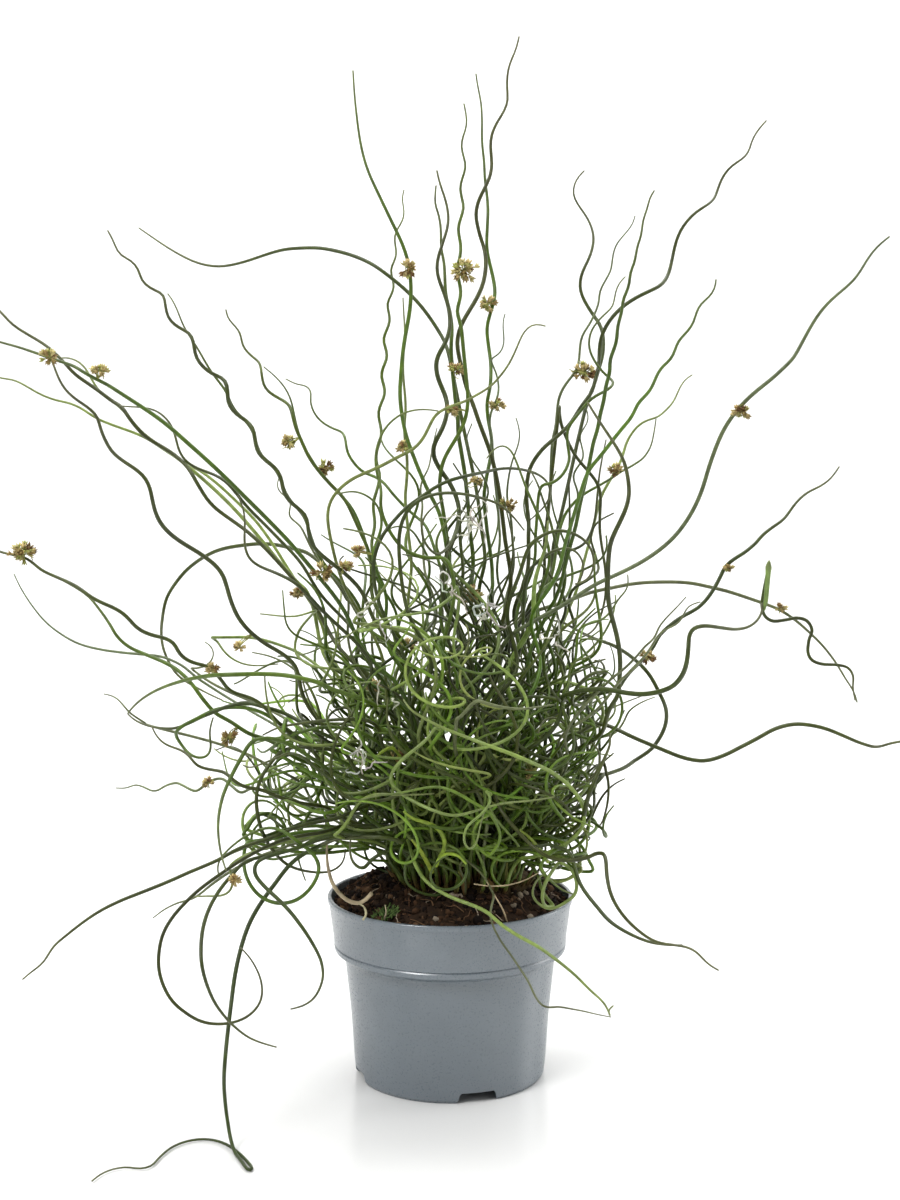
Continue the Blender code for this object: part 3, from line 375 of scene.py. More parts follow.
# ------------------------------------------------------- drawn stems
# name, radius (mm), depth knots (cm, tip to base), colour, photograph points tip to base.
# A third number marks a point lying on the floor.
TRACED = [
    ("t01", 1.25, (3, 4, 2, 1), "olive", [(519, 37), (517, 47), (512, 58), (508, 70), (507, 84), (508, 98), (506, 107), (500, 119), (493, 130), (491, 138), (491, 152), (492, 164), (489, 180), (481, 196), (477, 206), (476, 217), (480, 234), (485, 250), (486, 262), (485, 275), (482, 287), (476, 300), (467, 315), (460, 328), (457, 345), (460, 360), (464, 378), (468, 392), (473, 404), (479, 422), (486, 440), (492, 458), (497, 480), (501, 505), (505, 540), (508, 580), (505, 650)]),
    ("t02", 1.15, (-9, -5, -2), "green", [(353, 71), (355, 100), (360, 140), (367, 168), (380, 197), (392, 222), (402, 243), (408, 262), (411, 285), (410, 310), (406, 333), (403, 352), (401, 375), (400, 395), (402, 415), (406, 435), (413, 455), (421, 475), (430, 495), (440, 515), (447, 550), (452, 600), (456, 660)]),
    ("t03", 1.10, (-4, -3, -1), "green", [(464, 104), (466, 114), (467, 124), (464, 134), (461, 143), (463, 154), (466, 164), (463, 177), (460, 187), (462, 198), (464, 206), (461, 218), (458, 228), (460, 240), (461, 252), (458, 265), (457, 272), (460, 285), (461, 296), (458, 306), (457, 314), (461, 325), (463, 345), (466, 375), (468, 400), (465, 420), (458, 435), (449, 450), (443, 462), (440, 478), (440, 492), (443, 510), (447, 540), (449, 600)]),
    ("t04", 1.32, (-1, -2, -3), "olive", [(437, 171), (440, 184), (445, 198), (448, 212), (448, 225), (444, 240), (440, 252), (437, 264), (438, 276), (443, 290), (448, 305), (450, 320), (449, 333), (444, 346), (438, 356), (436, 366), (438, 378), (443, 390), (447, 402), (447, 413), (444, 425), (438, 437), (433, 449), (435, 460), (441, 471), (449, 482), (455, 494), (459, 508), (458, 525), (453, 540), (446, 556), (447, 580), (455, 640)]),
    ("t05", 1.25, (3, 2, 1), "green", [(436, 186), (435, 203), (439, 216), (441, 232), (441, 248), (444, 262), (445, 280), (446, 296), (450, 312), (452, 330), (451, 348), (452, 365), (454, 385), (456, 405), (458, 420), (458, 432), (461, 450), (465, 475), (467, 495), (469, 515), (472, 560), (478, 640)]),
    ("t06", 1.15, (9, 7, 3), "green", [(476, 74), (478, 88), (481, 102), (482, 122), (482, 142), (484, 160), (485, 180), (487, 195), (488, 212), (487, 232), (487, 250), (491, 268), (494, 282), (495, 295), (491, 312), (487, 325), (488, 342), (490, 355), (491, 370), (490, 388), (487, 402), (488, 418), (491, 434), (492, 448), (489, 465), (486, 480), (484, 500), (488, 540), (492, 600)]),
    ("t07", 1.00, (12, 9, 4), "green", [(404, 190), (402, 200), (404, 210), (403, 220), (397, 230), (394, 238), (396, 248), (396, 258), (391, 267), (391, 274), (394, 284), (392, 294), (387, 303), (389, 313), (390, 321), (386, 332), (383, 339), (386, 349), (387, 358), (383, 368), (381, 375), (384, 386), (385, 394), (381, 404), (378, 415), (381, 427), (381, 438), (377, 450), (376, 462), (380, 475), (377, 490), (373, 505), (375, 525), (372, 545), (376, 580), (388, 640)]),
    ("t08", 1.15, (14, 8, 5, 3), "olive", [(139, 228), (152, 237), (170, 249), (190, 260), (205, 265), (220, 266), (240, 262), (262, 255), (280, 250), (300, 248), (320, 248), (345, 253), (368, 262), (390, 277), (410, 294), (425, 311), (438, 330), (446, 345), (451, 365), (456, 390), (464, 430), (478, 500), (486, 580)]),
    ("t09", 0.90, (-12, -9, -5, -2), "sage_and_highlight", [(545, 326), (537, 324), (528, 327), (520, 340), (515, 352), (509, 364), (501, 375), (490, 387), (478, 394), (466, 401), (452, 406), (443, 410), (434, 417), (426, 433), (418, 445), (408, 452), (396, 458), (383, 465), (370, 471), (356, 477), (344, 485), (333, 497), (328, 510), (328, 525), (332, 545), (340, 570), (360, 620), (390, 690)]),
    ("t10", 1.00, (14, 10, 6), "green", [(286, 379), (296, 384), (306, 386), (311, 392), (311, 403), (315, 414), (323, 423), (334, 429), (343, 433), (346, 442), (348, 453), (354, 463), (363, 472), (375, 477), (384, 483), (393, 494), (405, 507), (415, 516), (428, 530), (440, 570), (450, 640)]),
    ("l01", 1.10, (-10, -8, -4), "olive", [(108, 231), (113, 237), (115, 247), (121, 256), (130, 260), (137, 265), (140, 276), (145, 285), (154, 290), (163, 294), (166, 305), (168, 317), (176, 326), (186, 331), (192, 336), (195, 347), (197, 359), (204, 368), (214, 375), (223, 378), (228, 388), (228, 400), (233, 411), (243, 419), (251, 424), (255, 435), (257, 450), (265, 460), (276, 469), (282, 480), (284, 492), (290, 502), (302, 512), (308, 520), (309, 535), (316, 550), (332, 565), (350, 580), (370, 600), (392, 640), (415, 700)]),
    ("l02", 1.10, (2, 1, 0), "green", [(226, 310), (229, 320), (237, 328), (241, 336), (243, 346), (250, 355), (259, 362), (262, 372), (264, 385), (270, 393), (280, 399), (289, 405), (293, 416), (296, 428), (302, 442), (309, 457), (318, 470), (330, 484), (345, 500), (355, 520), (365, 545), (380, 600), (400, 660)]),
    ("l03", 1.20, (6, 4, 1), "olive", [(-42, 282), (-22, 292), (0, 311), (12, 324), (25, 333), (42, 343), (55, 353), (66, 364), (76, 375), (90, 385), (100, 392), (113, 402), (122, 407), (132, 421), (142, 433), (150, 440), (165, 449), (178, 458), (190, 470), (200, 487), (212, 505), (228, 518), (245, 530), (262, 545), (285, 570), (320, 615), (370, 680)]),
    ("l04", 1.15, (-6, -7, -4), "green", [(-34, 322), (-18, 336), (0, 342), (18, 347), (36, 353), (50, 358), (62, 362), (76, 367), (90, 376), (108, 385), (125, 396), (142, 407), (158, 418), (172, 429), (190, 445), (210, 463), (228, 480), (248, 500), (270, 522), (298, 552), (335, 600), (400, 690)]),
    ("l05", 1.12, (-17, -13, -7, -3), "olive", [(48, 352), (52, 360), (57, 374), (64, 388), (75, 399), (88, 408), (97, 416), (101, 427), (106, 440), (114, 454), (126, 464), (138, 472), (147, 481), (152, 492), (155, 506), (160, 521), (170, 534), (183, 544), (198, 553), (212, 563), (222, 573), (227, 585), (232, 602), (239, 618), (250, 632), (266, 645), (284, 656), (297, 670), (303, 690), (314, 710), (335, 735), (370, 765), (410, 790)]),
    ("l06", 0.95, (4, 6, 4), "sage_and_highlight", [(-36, 366), (-16, 372), (0, 378), (14, 380), (28, 387), (42, 395), (55, 400), (72, 404), (86, 411), (98, 419), (115, 426), (132, 432), (148, 439), (162, 448), (185, 463), (205, 474), (235, 500), (270, 540), (330, 640)]),
    ("l07", 1.05, (-8, -10, -6, -3), "olive", [(-46, 545), (-24, 540), (-8, 548), (4, 553), (18, 556), (30, 560), (42, 570), (56, 577), (70, 583), (82, 590), (94, 599), (104, 604), (118, 610), (128, 617), (138, 628), (150, 635), (166, 639), (176, 645), (183, 657), (196, 664), (210, 668), (222, 680), (232, 692), (246, 697), (262, 705), (278, 722), (300, 745), (340, 775), (390, 800)]),
    ("l08", 1.15, (-2, -4, -3), "green", [(60, 579), (76, 588), (90, 598), (101, 611), (111, 625), (120, 639), (132, 649), (148, 656), (165, 663), (180, 672), (194, 686), (206, 702), (218, 715), (234, 724), (252, 735), (272, 742), (300, 757), (350, 790)]),
    ("l09", 0.85, (9, 6, 2), "grey", [(14, 574), (22, 590), (34, 608), (48, 624), (64, 636), (82, 645), (102, 650), (125, 653), (145, 655), (165, 658), (185, 667), (205, 683), (240, 705), (320, 750)]),
    ("l10", 1.25, (12, 16, 8, 4), "olive", [(222, 700), (204, 692), (182, 680), (168, 660), (162, 640), (162, 618), (166, 600), (176, 583), (188, 569), (204, 557), (222, 549), (245, 545), (268, 544), (290, 548), (315, 558), (345, 590), (380, 640), (415, 710)]),
    ("l11", 1.20, (-3, -9, -9, -4), "green", [(128, 713), (133, 707), (142, 699), (155, 691), (172, 684), (195, 678), (220, 675), (250, 674), (280, 675), (305, 679), (330, 686), (360, 700), (400, 740)]),
    ("l11b", 1.10, (-3, -5, -5, -3), "olive", [(128, 714), (135, 720), (146, 725), (160, 728), (176, 728), (190, 723), (202, 717), (214, 712), (230, 706), (250, 703), (275, 710), (310, 722), (350, 745), (400, 775)]),
    ("l12", 0.95, (11, 8, 3), "grey", [(116, 788), (126, 788), (136, 785), (145, 787), (156, 791), (166, 786), (178, 783), (188, 787), (197, 791), (204, 786), (214, 780), (224, 779), (232, 785), (242, 793), (252, 789), (275, 792), (300, 798), (340, 812)]),
    ("l13", 1.10, (-13, -9, -4), "green", [(226, 870), (222, 858), (219, 842), (218, 825), (220, 808), (224, 793), (232, 775), (241, 758), (250, 744), (262, 738), (285, 742), (320, 765), (375, 815)]),
    ("ll1", 1.00, (-16, -10, -4), "olive", [(23, 979), (30, 973), (38, 967), (45, 960), (51, 950), (57, 943), (68, 934), (82, 923), (100, 911), (120, 901), (140, 893), (165, 883), (190, 872), (218, 860), (240, 848), (270, 838), (300, 826), (327, 818), (360, 806), (392, 800)]),
    ("ll2", 1.30, (0, 0, -11, -7, -4), "olive", [(92, 1181, 1), (98, 1176, 1), (107, 1171, 1), (118, 1168, 1), (130, 1167, 1), (142, 1169, 1), (149, 1168, 1), (155, 1162, 1), (163, 1154, 1), (174, 1146, 1), (188, 1141, 1), (203, 1139, 1), (218, 1141, 1), (231, 1147, 1), (242, 1156, 1), (250, 1165, 1), (254, 1172, 1), (248, 1170, 1), (240, 1160), (233, 1148), (229, 1130), (226, 1110), (224, 1085), (225, 1060), (228, 1030), (231, 1005), (235, 975), (241, 948), (250, 922), (265, 897), (285, 872), (308, 852), (335, 834), (372, 815)]),
    ("ll3", 0.95, (-9, -12, -9, -5), "olive", [(241, 948), (250, 958), (258, 972), (262, 986), (261, 1000), (254, 1011), (243, 1019), (230, 1023), (215, 1024), (200, 1021), (186, 1013), (173, 1002), (164, 987), (159, 970), (159, 952), (163, 934), (172, 918), (184, 904), (200, 889), (222, 873), (245, 858), (275, 843), (310, 832), (360, 822)]),
    ("ll4", 1.00, (-12, -14, -10, -5), "olive", [(276, 1047), (262, 1043), (248, 1037), (236, 1028), (226, 1018), (215, 1003), (207, 985), (202, 966), (201, 948), (203, 928), (209, 909), (219, 891), (231, 876), (245, 862), (265, 856), (290, 850), (320, 842), (360, 828)]),
    ("ll5", 1.05, (-11, -12, -10, -6), "olive", [(291, 1009), (302, 1006), (312, 1000), (319, 990), (323, 976), (321, 961), (314, 946), (304, 930), (292, 914), (280, 901), (266, 888), (256, 876), (255, 866), (262, 859), (280, 853), (305, 846), (345, 830)]),
    ("r01", 1.18, (6, 3, 1), "olive", [(766, 121), (760, 128), (754, 135), (751, 145), (747, 155), (738, 162), (728, 169), (722, 179), (718, 190), (714, 199), (706, 206), (695, 213), (687, 221), (680, 232), (676, 245), (673, 260), (669, 274), (661, 285), (648, 292), (634, 299), (621, 308), (610, 320), (603, 333), (600, 347), (600, 362), (596, 378), (592, 392), (582, 405), (570, 424), (556, 437), (545, 446), (536, 457), (530, 468), (527, 485), (527, 505), (529, 525), (526, 560), (520, 640)]),
    ("r02", 1.20, (12, 8, 4), "olive", [(584, 171), (577, 179), (573, 190), (575, 199), (582, 209), (589, 220), (593, 232), (593, 244), (589, 258), (583, 270), (580, 281), (581, 292), (587, 304), (594, 315), (600, 324), (603, 335), (603, 352), (599, 368), (594, 385), (588, 400), (578, 440), (560, 520), (535, 620)]),
    ("r03", 1.10, (-8, -5, -2), "green", [(654, 191), (649, 200), (647, 210), (643, 220), (642, 231), (640, 240), (636, 250), (636, 260), (631, 269), (630, 280), (627, 291), (623, 300), (622, 312), (618, 324), (617, 338), (614, 350), (610, 358), (610, 372), (606, 385), (604, 400), (600, 415), (598, 428), (594, 440), (591, 455), (587, 475), (581, 500), (572, 540), (545, 620)]),
    ("r04", 0.85, (5, 4, 2), "grey", [(635, 216), (632, 225), (624, 235), (616, 245), (613, 256), (611, 270), (605, 281), (600, 291), (599, 302), (595, 313), (589, 325), (582, 336), (580, 350), (579, 362), (575, 372), (565, 385), (559, 398), (557, 415), (555, 432), (552, 445), (548, 520), (535, 620)]),
    ("r05", 0.90, (-3, -3, -1), "green", [(625, 277), (618, 285), (615, 296), (613, 306), (606, 313), (599, 320), (592, 329), (589, 340), (590, 350), (596, 362), (604, 372), (613, 380), (613, 385), (603, 392), (592, 398), (583, 408), (575, 418), (568, 429), (568, 445), (570, 458), (563, 474), (550, 484), (540, 489), (535, 540), (525, 620)]),
    ("r06", 1.05, (-15, -10, -4), "green", [(716, 280), (715, 288), (709, 297), (700, 305), (696, 314), (693, 324), (686, 333), (679, 340), (675, 351), (670, 360), (661, 368), (656, 378), (651, 389), (644, 397), (637, 405), (633, 415), (625, 425), (616, 436), (606, 449), (597, 460), (588, 472), (580, 495), (560, 560), (530, 650)]),
    ("r07", 1.00, (13, 9, 5), "sage_and_highlight", [(692, 375), (684, 381), (678, 392), (674, 401), (666, 410), (657, 417), (645, 421), (636, 428), (628, 440), (624, 452), (619, 465), (610, 480), (600, 500), (590, 540), (570, 610), (545, 700)]),
    ("r07b", 0.95, (6, 5, 3), "green", [(656, 419), (654, 433), (651, 446), (644, 457), (633, 465), (622, 471), (612, 478), (598, 486), (584, 494), (572, 505), (563, 520), (552, 560), (535, 640)]),
    ("r08", 1.20, (-7, -5, -3), "grey", [(889, 237), (881, 243), (872, 253), (865, 264), (858, 275), (847, 286), (835, 296), (826, 305), (818, 316), (810, 330), (803, 343), (795, 356), (784, 367), (772, 378), (758, 389), (745, 401), (734, 414), (725, 428), (717, 446), (710, 466), (704, 486), (696, 505), (686, 522), (674, 537), (658, 551), (640, 563), (620, 573), (598, 582), (578, 592), (560, 603), (540, 616), (515, 640), (495, 690)]),
    ("r09", 1.15, (3, 1, 0), "olive", [(839, 467), (832, 477), (822, 485), (808, 492), (799, 500), (792, 509), (785, 518), (774, 526), (765, 533), (757, 542), (746, 551), (735, 558), (727, 565), (721, 577), (715, 588), (707, 599), (697, 608), (684, 615), (670, 625), (660, 635), (654, 648), (645, 660), (632, 672), (618, 684), (600, 690), (575, 705), (545, 740)]),
    ("r10", 1.28, (-12, -15, -9, -4), "olive", [(762, 604), (762, 612), (757, 621), (748, 627), (735, 629), (720, 627), (706, 625), (697, 626), (691, 633), (690, 645), (688, 660), (683, 674), (674, 685), (661, 691), (645, 694), (628, 693), (612, 690), (598, 689), (580, 694), (555, 708), (525, 760)]),
    ("r11", 1.15, (10, 8, 3), "grey", [(857, 702), (853, 690), (845, 678), (836, 663), (823, 646), (810, 633), (795, 620), (780, 610), (765, 604), (748, 598), (730, 592), (710, 587), (690, 583), (665, 582), (640, 583), (615, 587), (595, 591), (575, 597), (555, 606), (535, 618), (510, 640), (495, 690)]),
    ("r12", 0.88, (-12, -11, -12), "olive", [(855, 700), (853, 688), (853, 676), (848, 668), (838, 665), (822, 664), (812, 660), (808, 652), (809, 640), (812, 630), (807, 621), (797, 618), (785, 620), (773, 621), (765, 616), (762, 606), (763, 596), (766, 580), (769, 566)]),
    ("r13", 1.15, (-4, -5, -3), "olive", [(944, 728), (925, 737), (900, 742), (880, 747), (862, 743), (845, 736), (828, 729), (812, 725), (797, 724), (780, 728), (762, 737), (745, 746), (728, 755), (712, 760), (697, 760), (680, 756), (660, 748), (640, 739), (622, 731), (605, 727), (585, 728), (560, 740), (525, 790)]),
    ("r14", 1.30, (-12, -11, -8, -3), "olive", [(588, 403), (596, 416), (606, 431), (616, 446), (624, 461), (628, 478), (629, 492), (626, 506), (619, 522), (612, 538), (609, 555), (608, 575), (608, 595), (611, 614), (616, 634), (620, 655), (622, 675), (621, 692), (611, 705), (598, 722), (580, 750), (550, 800)]),
    ("r15", 1.25, (5, 9, 6, 2), "olive", [(540, 622), (560, 625), (580, 631), (600, 640), (618, 648), (634, 659), (648, 673), (658, 690), (666, 708), (665, 725), (656, 743), (643, 755), (628, 764), (612, 769), (595, 772), (570, 790), (545, 830)]),
    ("r16", 1.30, (-7, -7, -4), "olive", [(607, 733), (607, 745), (604, 758), (600, 775), (594, 792), (586, 808), (570, 825), (545, 845)]),
    ("b01", 1.05, (-15, -13, -8, -3), "olive", [(718, 970), (707, 963), (698, 953), (688, 948), (672, 946), (658, 943), (643, 934), (628, 921), (616, 905), (609, 888), (606, 870), (605, 856), (600, 854), (588, 859), (572, 861), (555, 859), (538, 852), (522, 841), (512, 828), (505, 812), (503, 795), (506, 778), (514, 764), (524, 757), (515, 752), (495, 745)]),
    ("b01b", 1.05, (-14, -10, -6), "olive", [(682, 945), (668, 945), (650, 942), (630, 934), (612, 923), (598, 908), (586, 890), (577, 873), (569, 862), (556, 850), (540, 838)]),
    ("b02", 0.95, (-15, -13, -8, -4), "sage_and_highlight", [(613, 1006), (608, 1012), (611, 1017), (604, 1003), (590, 990), (575, 975), (558, 961), (540, 948), (520, 937), (500, 926), (482, 913), (465, 902), (450, 892), (437, 880), (427, 866), (418, 850), (405, 835), (388, 822)]),
    ("b02b", 0.60, (-13, -9, -6), "grey", [(611, 1017), (600, 1015), (583, 1011), (565, 1008), (548, 1007), (537, 999), (526, 985), (516, 970), (508, 950), (503, 930), (497, 915), (488, 897), (478, 885), (470, 870), (462, 856)]),
    ("b03", 1.00, (19, 16, 9, 4), "sage_and_highlight", [(548, 662), (530, 648), (508, 652), (494, 672), (500, 698), (516, 718), (524, 744), (512, 770), (500, 792)]),
    # inner arcs and curls
    ("x01", 0.90, (-3, -2, -2), "sage_and_highlight", [(403, 298), (404, 318), (405, 335), (404, 350), (403, 372), (405, 395), (406, 410), (404, 430), (407, 455), (407, 480), (405, 500), (409, 540), (412, 600), (425, 680)]),
    ("x02", 1.00, (-5, -6, -4), "green", [(438, 411), (425, 409), (408, 411), (396, 417), (384, 429), (378, 443), (375, 458), (377, 475), (382, 492), (380, 505), (385, 522), (395, 540), (410, 553), (430, 559), (447, 560), (452, 600), (450, 690)]),
    ("x03", 0.80, (3, 3, 2), "grey", [(516, 418), (520, 432), (518, 446), (513, 458), (510, 470), (508, 482), (507, 498), (512, 530), (510, 600), (500, 690)]),
    ("x04", 0.95, (-4, -3, -1), "green", [(487, 458), (494, 449), (503, 444), (511, 450), (516, 461), (521, 474), (527, 490), (536, 510), (544, 530), (548, 560), (540, 620), (520, 700)]),
    ("x05", 1.00, (2, -5, -7, -5), "olive", [(530, 520), (543, 508), (551, 495), (549, 483), (540, 475), (525, 470), (505, 468), (485, 472), (465, 476), (447, 481), (432, 489), (420, 498), (405, 508), (395, 520), (384, 532), (377, 548), (374, 570), (385, 620), (410, 700)]),
    ("x06", 1.05, (-4, -8, -8, -5), "olive", [(524, 530), (510, 513), (497, 503), (485, 499), (470, 495), (455, 493), (440, 493), (425, 497), (412, 505), (403, 518), (399, 535), (399, 555), (403, 575), (408, 595), (415, 640), (430, 720)]),
    ("x07", 0.80, (5, 5, 3), "grey", [(505, 314), (502, 325), (505, 340), (502, 351), (496, 358), (489, 357), (496, 371), (499, 385), (498, 398), (492, 408), (489, 422), (492, 440), (494, 470), (500, 540), (500, 640)]),
    ("x08", 1.00, (-6, -4, -3), "green", [(338, 494), (352, 491), (366, 495), (378, 506), (382, 525), (376, 545), (373, 565), (380, 590), (395, 640), (415, 710)]),
    ("x09", 0.80, (7, 6, 3), "grey", [(437, 428), (434, 440), (431, 455), (429, 468), (422, 480), (420, 492), (423, 505), (421, 520), (424, 545), (430, 600), (440, 690)]),
    ("x10", 1.00, (-7, -7, -4), "olive", [(443, 500), (432, 508), (423, 518), (421, 532), (426, 545), (436, 555), (447, 548), (455, 535), (460, 520)]),
    ("x11", 1.00, (4, 5, 3), "green", [(384, 532), (396, 526), (412, 530), (421, 545), (427, 560), (426, 576), (421, 590), (413, 602), (405, 625), (410, 700)]),
    ("x12", 0.85, (-9, -10, -7), "sage_and_highlight", [(338, 645), (352, 633), (372, 622), (395, 616), (418, 613), (436, 609), (447, 600), (456, 592)]),
    ("x13", 0.90, (-8, -6, -3), "green", [(478, 658), (488, 654), (498, 656), (502, 664), (494, 673), (480, 677), (467, 671), (457, 660), (448, 648), (443, 640), (441, 650), (444, 668), (450, 690), (457, 720), (462, 750)]),
    ("x14", 1.00, (-9, -9, -8), "grey", [(556, 706), (540, 709), (520, 711), (500, 709), (482, 704), (470, 700), (455, 720)]),
    ("x15", 1.05, (-8, -10, -8, -4), "sage_and_highlight", [(402, 702), (418, 712), (436, 721), (458, 733), (480, 743), (503, 751), (524, 758), (545, 766), (563, 777), (575, 793), (577, 812), (568, 830), (550, 845), (530, 856)]),
    ("x16", 0.92, (-8, -8, -7), "sage_and_highlight", [(425, 790), (405, 792), (385, 794), (372, 800), (355, 812), (342, 824), (330, 836)]),
    ("x17", 0.88, (-8, -9, -8), "sage_and_highlight", [(550, 797), (525, 800), (505, 802), (488, 808), (468, 813), (447, 814), (427, 812), (410, 806), (398, 796), (393, 785), (396, 774), (406, 760), (416, 746), (425, 733), (430, 722)]),
    ("x18", 0.84, (-8, -9, -8), "bright", [(360, 800), (380, 795), (402, 793), (425, 790), (448, 789), (465, 793), (478, 801), (488, 810), (492, 825), (495, 845), (490, 860)]),
    ("x19", 0.76, (-9, -10, -9), "sage_and_highlight", [(486, 812), (484, 828), (482, 842), (475, 848), (468, 842), (466, 830), (470, 820), (478, 812), (485, 800), (480, 790)]),
    ("x20", 0.96, (-6, -8, -6), "sage_and_highlight", [(545, 866), (537, 877), (537, 893), (546, 905), (558, 911), (569, 906), (577, 893), (574, 880), (566, 869), (555, 863), (548, 868), (541, 880), (543, 895), (553, 904), (563, 903)]),
    ("x21", 0.96, (-7, -7, -6), "bright", [(575, 897), (566, 893), (556, 882), (548, 872), (543, 864), (548, 850), (560, 842)]),
    ("x22", 1.00, (-6, -5, -4), "olive", [(545, 735), (556, 721), (566, 719), (573, 729), (573, 743), (564, 753), (549, 757), (535, 753), (524, 744), (518, 735), (505, 760), (495, 800)]),
    ("x23", 1.00, (-5, -6, -4), "olive", [(584, 741), (594, 750), (597, 763), (591, 776), (578, 784), (562, 786), (547, 794), (535, 810), (520, 840)]),
    ("x24", 1.05, (-4, -5, -3), "olive", [(572, 850), (583, 842), (588, 830), (586, 816), (577, 808), (565, 806), (552, 812), (540, 830)]),
    ("x25", 1.00, (2, 2, 1), "olive", [(588, 824), (603, 813), (613, 800), (615, 785), (609, 773), (600, 766), (585, 775), (560, 800), (540, 835)]),
    ("x26", 1.00, (4, 5, 3), "olive", [(535, 662), (550, 652), (568, 642), (585, 634), (597, 622), (606, 606), (609, 590), (606, 570), (600, 540), (600, 505), (601, 488), (592, 475), (580, 462), (571, 450), (566, 436), (558, 418), (560, 410)]),
    ("x27", 0.85, (-6, -5, -3), "green", [(627, 575), (627, 588), (618, 598), (613, 610), (604, 619), (592, 622), (582, 628), (576, 640), (570, 655), (566, 672), (567, 688), (575, 700), (588, 710), (596, 722), (585, 745), (560, 790)]),
    ("x28", 0.80, (-7, -6, -4), "green", [(590, 640), (596, 652), (590, 658), (580, 661), (576, 671), (575, 683), (567, 690), (562, 705), (555, 740), (545, 790)]),
    ("x29", 0.80, (5, 5, 3), "grey", [(605, 648), (612, 660), (616, 674), (608, 687), (597, 696), (590, 715), (575, 760)]),
    ("x30", 0.75, (6, 6, 3), "grey", [(592, 661), (600, 672), (600, 685), (592, 696), (582, 703), (578, 720), (565, 770)]),
    ("x31", 1.10, (-5, -6, -4), "olive", [(572, 585), (585, 580), (593, 568), (594, 555), (588, 543), (575, 534), (560, 530), (545, 534), (530, 545), (520, 570), (510, 640)]),
    ("x32", 1.00, (-3, -4, -3), "olive", [(574, 583), (582, 572), (582, 560), (575, 550), (563, 548), (548, 555), (530, 575), (515, 640)]),
    ("x33", 0.80, (7, 7, 4), "grey", [(583, 402), (589, 415), (587, 425), (579, 434), (582, 446), (584, 458), (574, 471), (573, 480), (579, 493), (575, 510), (560, 580), (540, 680)]),
    ("x34", 1.05, (-7, -8, -5), "green", [(220, 878), (216, 868), (222, 856), (232, 846), (244, 837), (258, 831), (272, 828), (287, 832), (300, 843), (312, 858), (317, 873), (311, 888), (299, 899), (283, 904), (266, 900), (253, 889), (245, 874), (243, 858), (245, 845), (255, 838), (290, 835), (340, 826)]),
    ("x35", 1.05, (-4, -7, -6, -4), "olive", [(345, 850), (337, 862), (325, 871), (308, 871), (292, 866), (277, 855), (266, 840), (259, 823), (256, 805), (257, 790), (263, 774), (275, 758), (288, 748), (310, 745), (350, 760), (395, 800)]),
    ("x36", 0.95, (-8, -8, -6), "olive", [(243, 765), (250, 768), (264, 763), (279, 757), (290, 753), (303, 757), (325, 772), (365, 800)]),
    ("x37", 1.10, (-4, -5, -4), "green", [(213, 718), (209, 733), (210, 748), (208, 756), (198, 757), (186, 751), (177, 741), (176, 732), (184, 724), (198, 718), (215, 710), (235, 707), (262, 712), (300, 735), (350, 770), (400, 800)]),
    ("x38", 1.00, (-6, -7, -4), "olive", [(152, 727), (158, 738), (168, 746), (180, 750), (190, 756), (198, 766), (210, 770), (226, 773), (236, 782), (248, 788), (262, 790), (280, 797), (310, 806), (350, 818)]),
    ("x39", 0.95, (2, 1, 1), "green", [(288, 700), (296, 692), (306, 685), (320, 683), (335, 685), (350, 695), (375, 725), (405, 780)]),
    ("x40", 0.90, (8, 7, 4), "grey", [(205, 642), (212, 647), (214, 655), (210, 663), (202, 667), (190, 668), (200, 676), (225, 690), (270, 710), (330, 745)]),
    ("x41", 1.00, (9, 8, 4), "sage_and_highlight", [(278, 664), (255, 666), (240, 663), (227, 655), (218, 645), (211, 638), (218, 636), (235, 637), (255, 638), (280, 645), (310, 660), (350, 700), (400, 760)]),
    ("x42", 1.00, (-5, -6, -4), "olive", [(238, 496), (242, 505), (245, 518), (245, 545), (250, 560), (262, 568), (280, 575), (305, 590), (340, 630), (390, 700)]),
    ("x43", 1.00, (4, 4, 2), "olive", [(120, 406), (135, 407), (150, 408), (162, 414), (172, 425), (177, 438), (180, 452), (187, 463), (200, 470), (215, 475), (228, 483), (238, 495), (250, 510), (275, 535), (310, 575), (360, 650)]),
    ("x44", 0.90, (-4, -4, -3), "green", [(168, 294), (176, 305), (180, 318), (184, 328), (192, 340), (199, 350), (205, 362), (212, 373), (220, 384), (228, 392), (230, 403), (236, 413), (248, 423), (256, 437), (258, 452), (268, 463), (279, 472), (283, 488), (292, 504), (306, 517), (310, 535), (325, 565), (365, 620)]),
    ("x45", 0.90, (3, 3, 2), "green", [(264, 367), (276, 377), (286, 389), (292, 402), (295, 418), (299, 434), (304, 447), (312, 460), (322, 475), (335, 490), (350, 505), (360, 525), (375, 570), (400, 640)]),
    ("x46", 1.15, (6, 5, 3), "sage_and_highlight", [(61, 358), (70, 357), (79, 361), (87, 369), (92, 379), (97, 389), (106, 398), (118, 405), (130, 418), (142, 433), (160, 446), (190, 468), (240, 515), (310, 600)]),
    ("x47", 0.85, (-2, -3, -2), "grey", [(104, 694), (113, 696), (120, 701), (127, 710), (134, 716), (150, 726)]),
    ("x48", 1.00, (-5, -7, -5), "olive", [(263, 735), (280, 727), (297, 722), (318, 718), (340, 718), (360, 722), (385, 740), (415, 775)]),
    ("x49", 0.95, (-6, -7, -5), "sage_and_highlight", [(190, 897), (205, 896), (222, 895), (231, 890), (232, 880), (229, 868), (240, 858), (265, 848), (300, 838), (345, 826)]),
    ("x50", 0.85, (-3, -5, -4), "grey", [(153, 918), (165, 909), (180, 902), (196, 897), (215, 882), (240, 866), (275, 850), (320, 836)]),
    ("x51", 1.00, (1, 0, 0), "olive", [(222, 858), (245, 848), (275, 838), (305, 828), (330, 822), (365, 812), (400, 802)]),
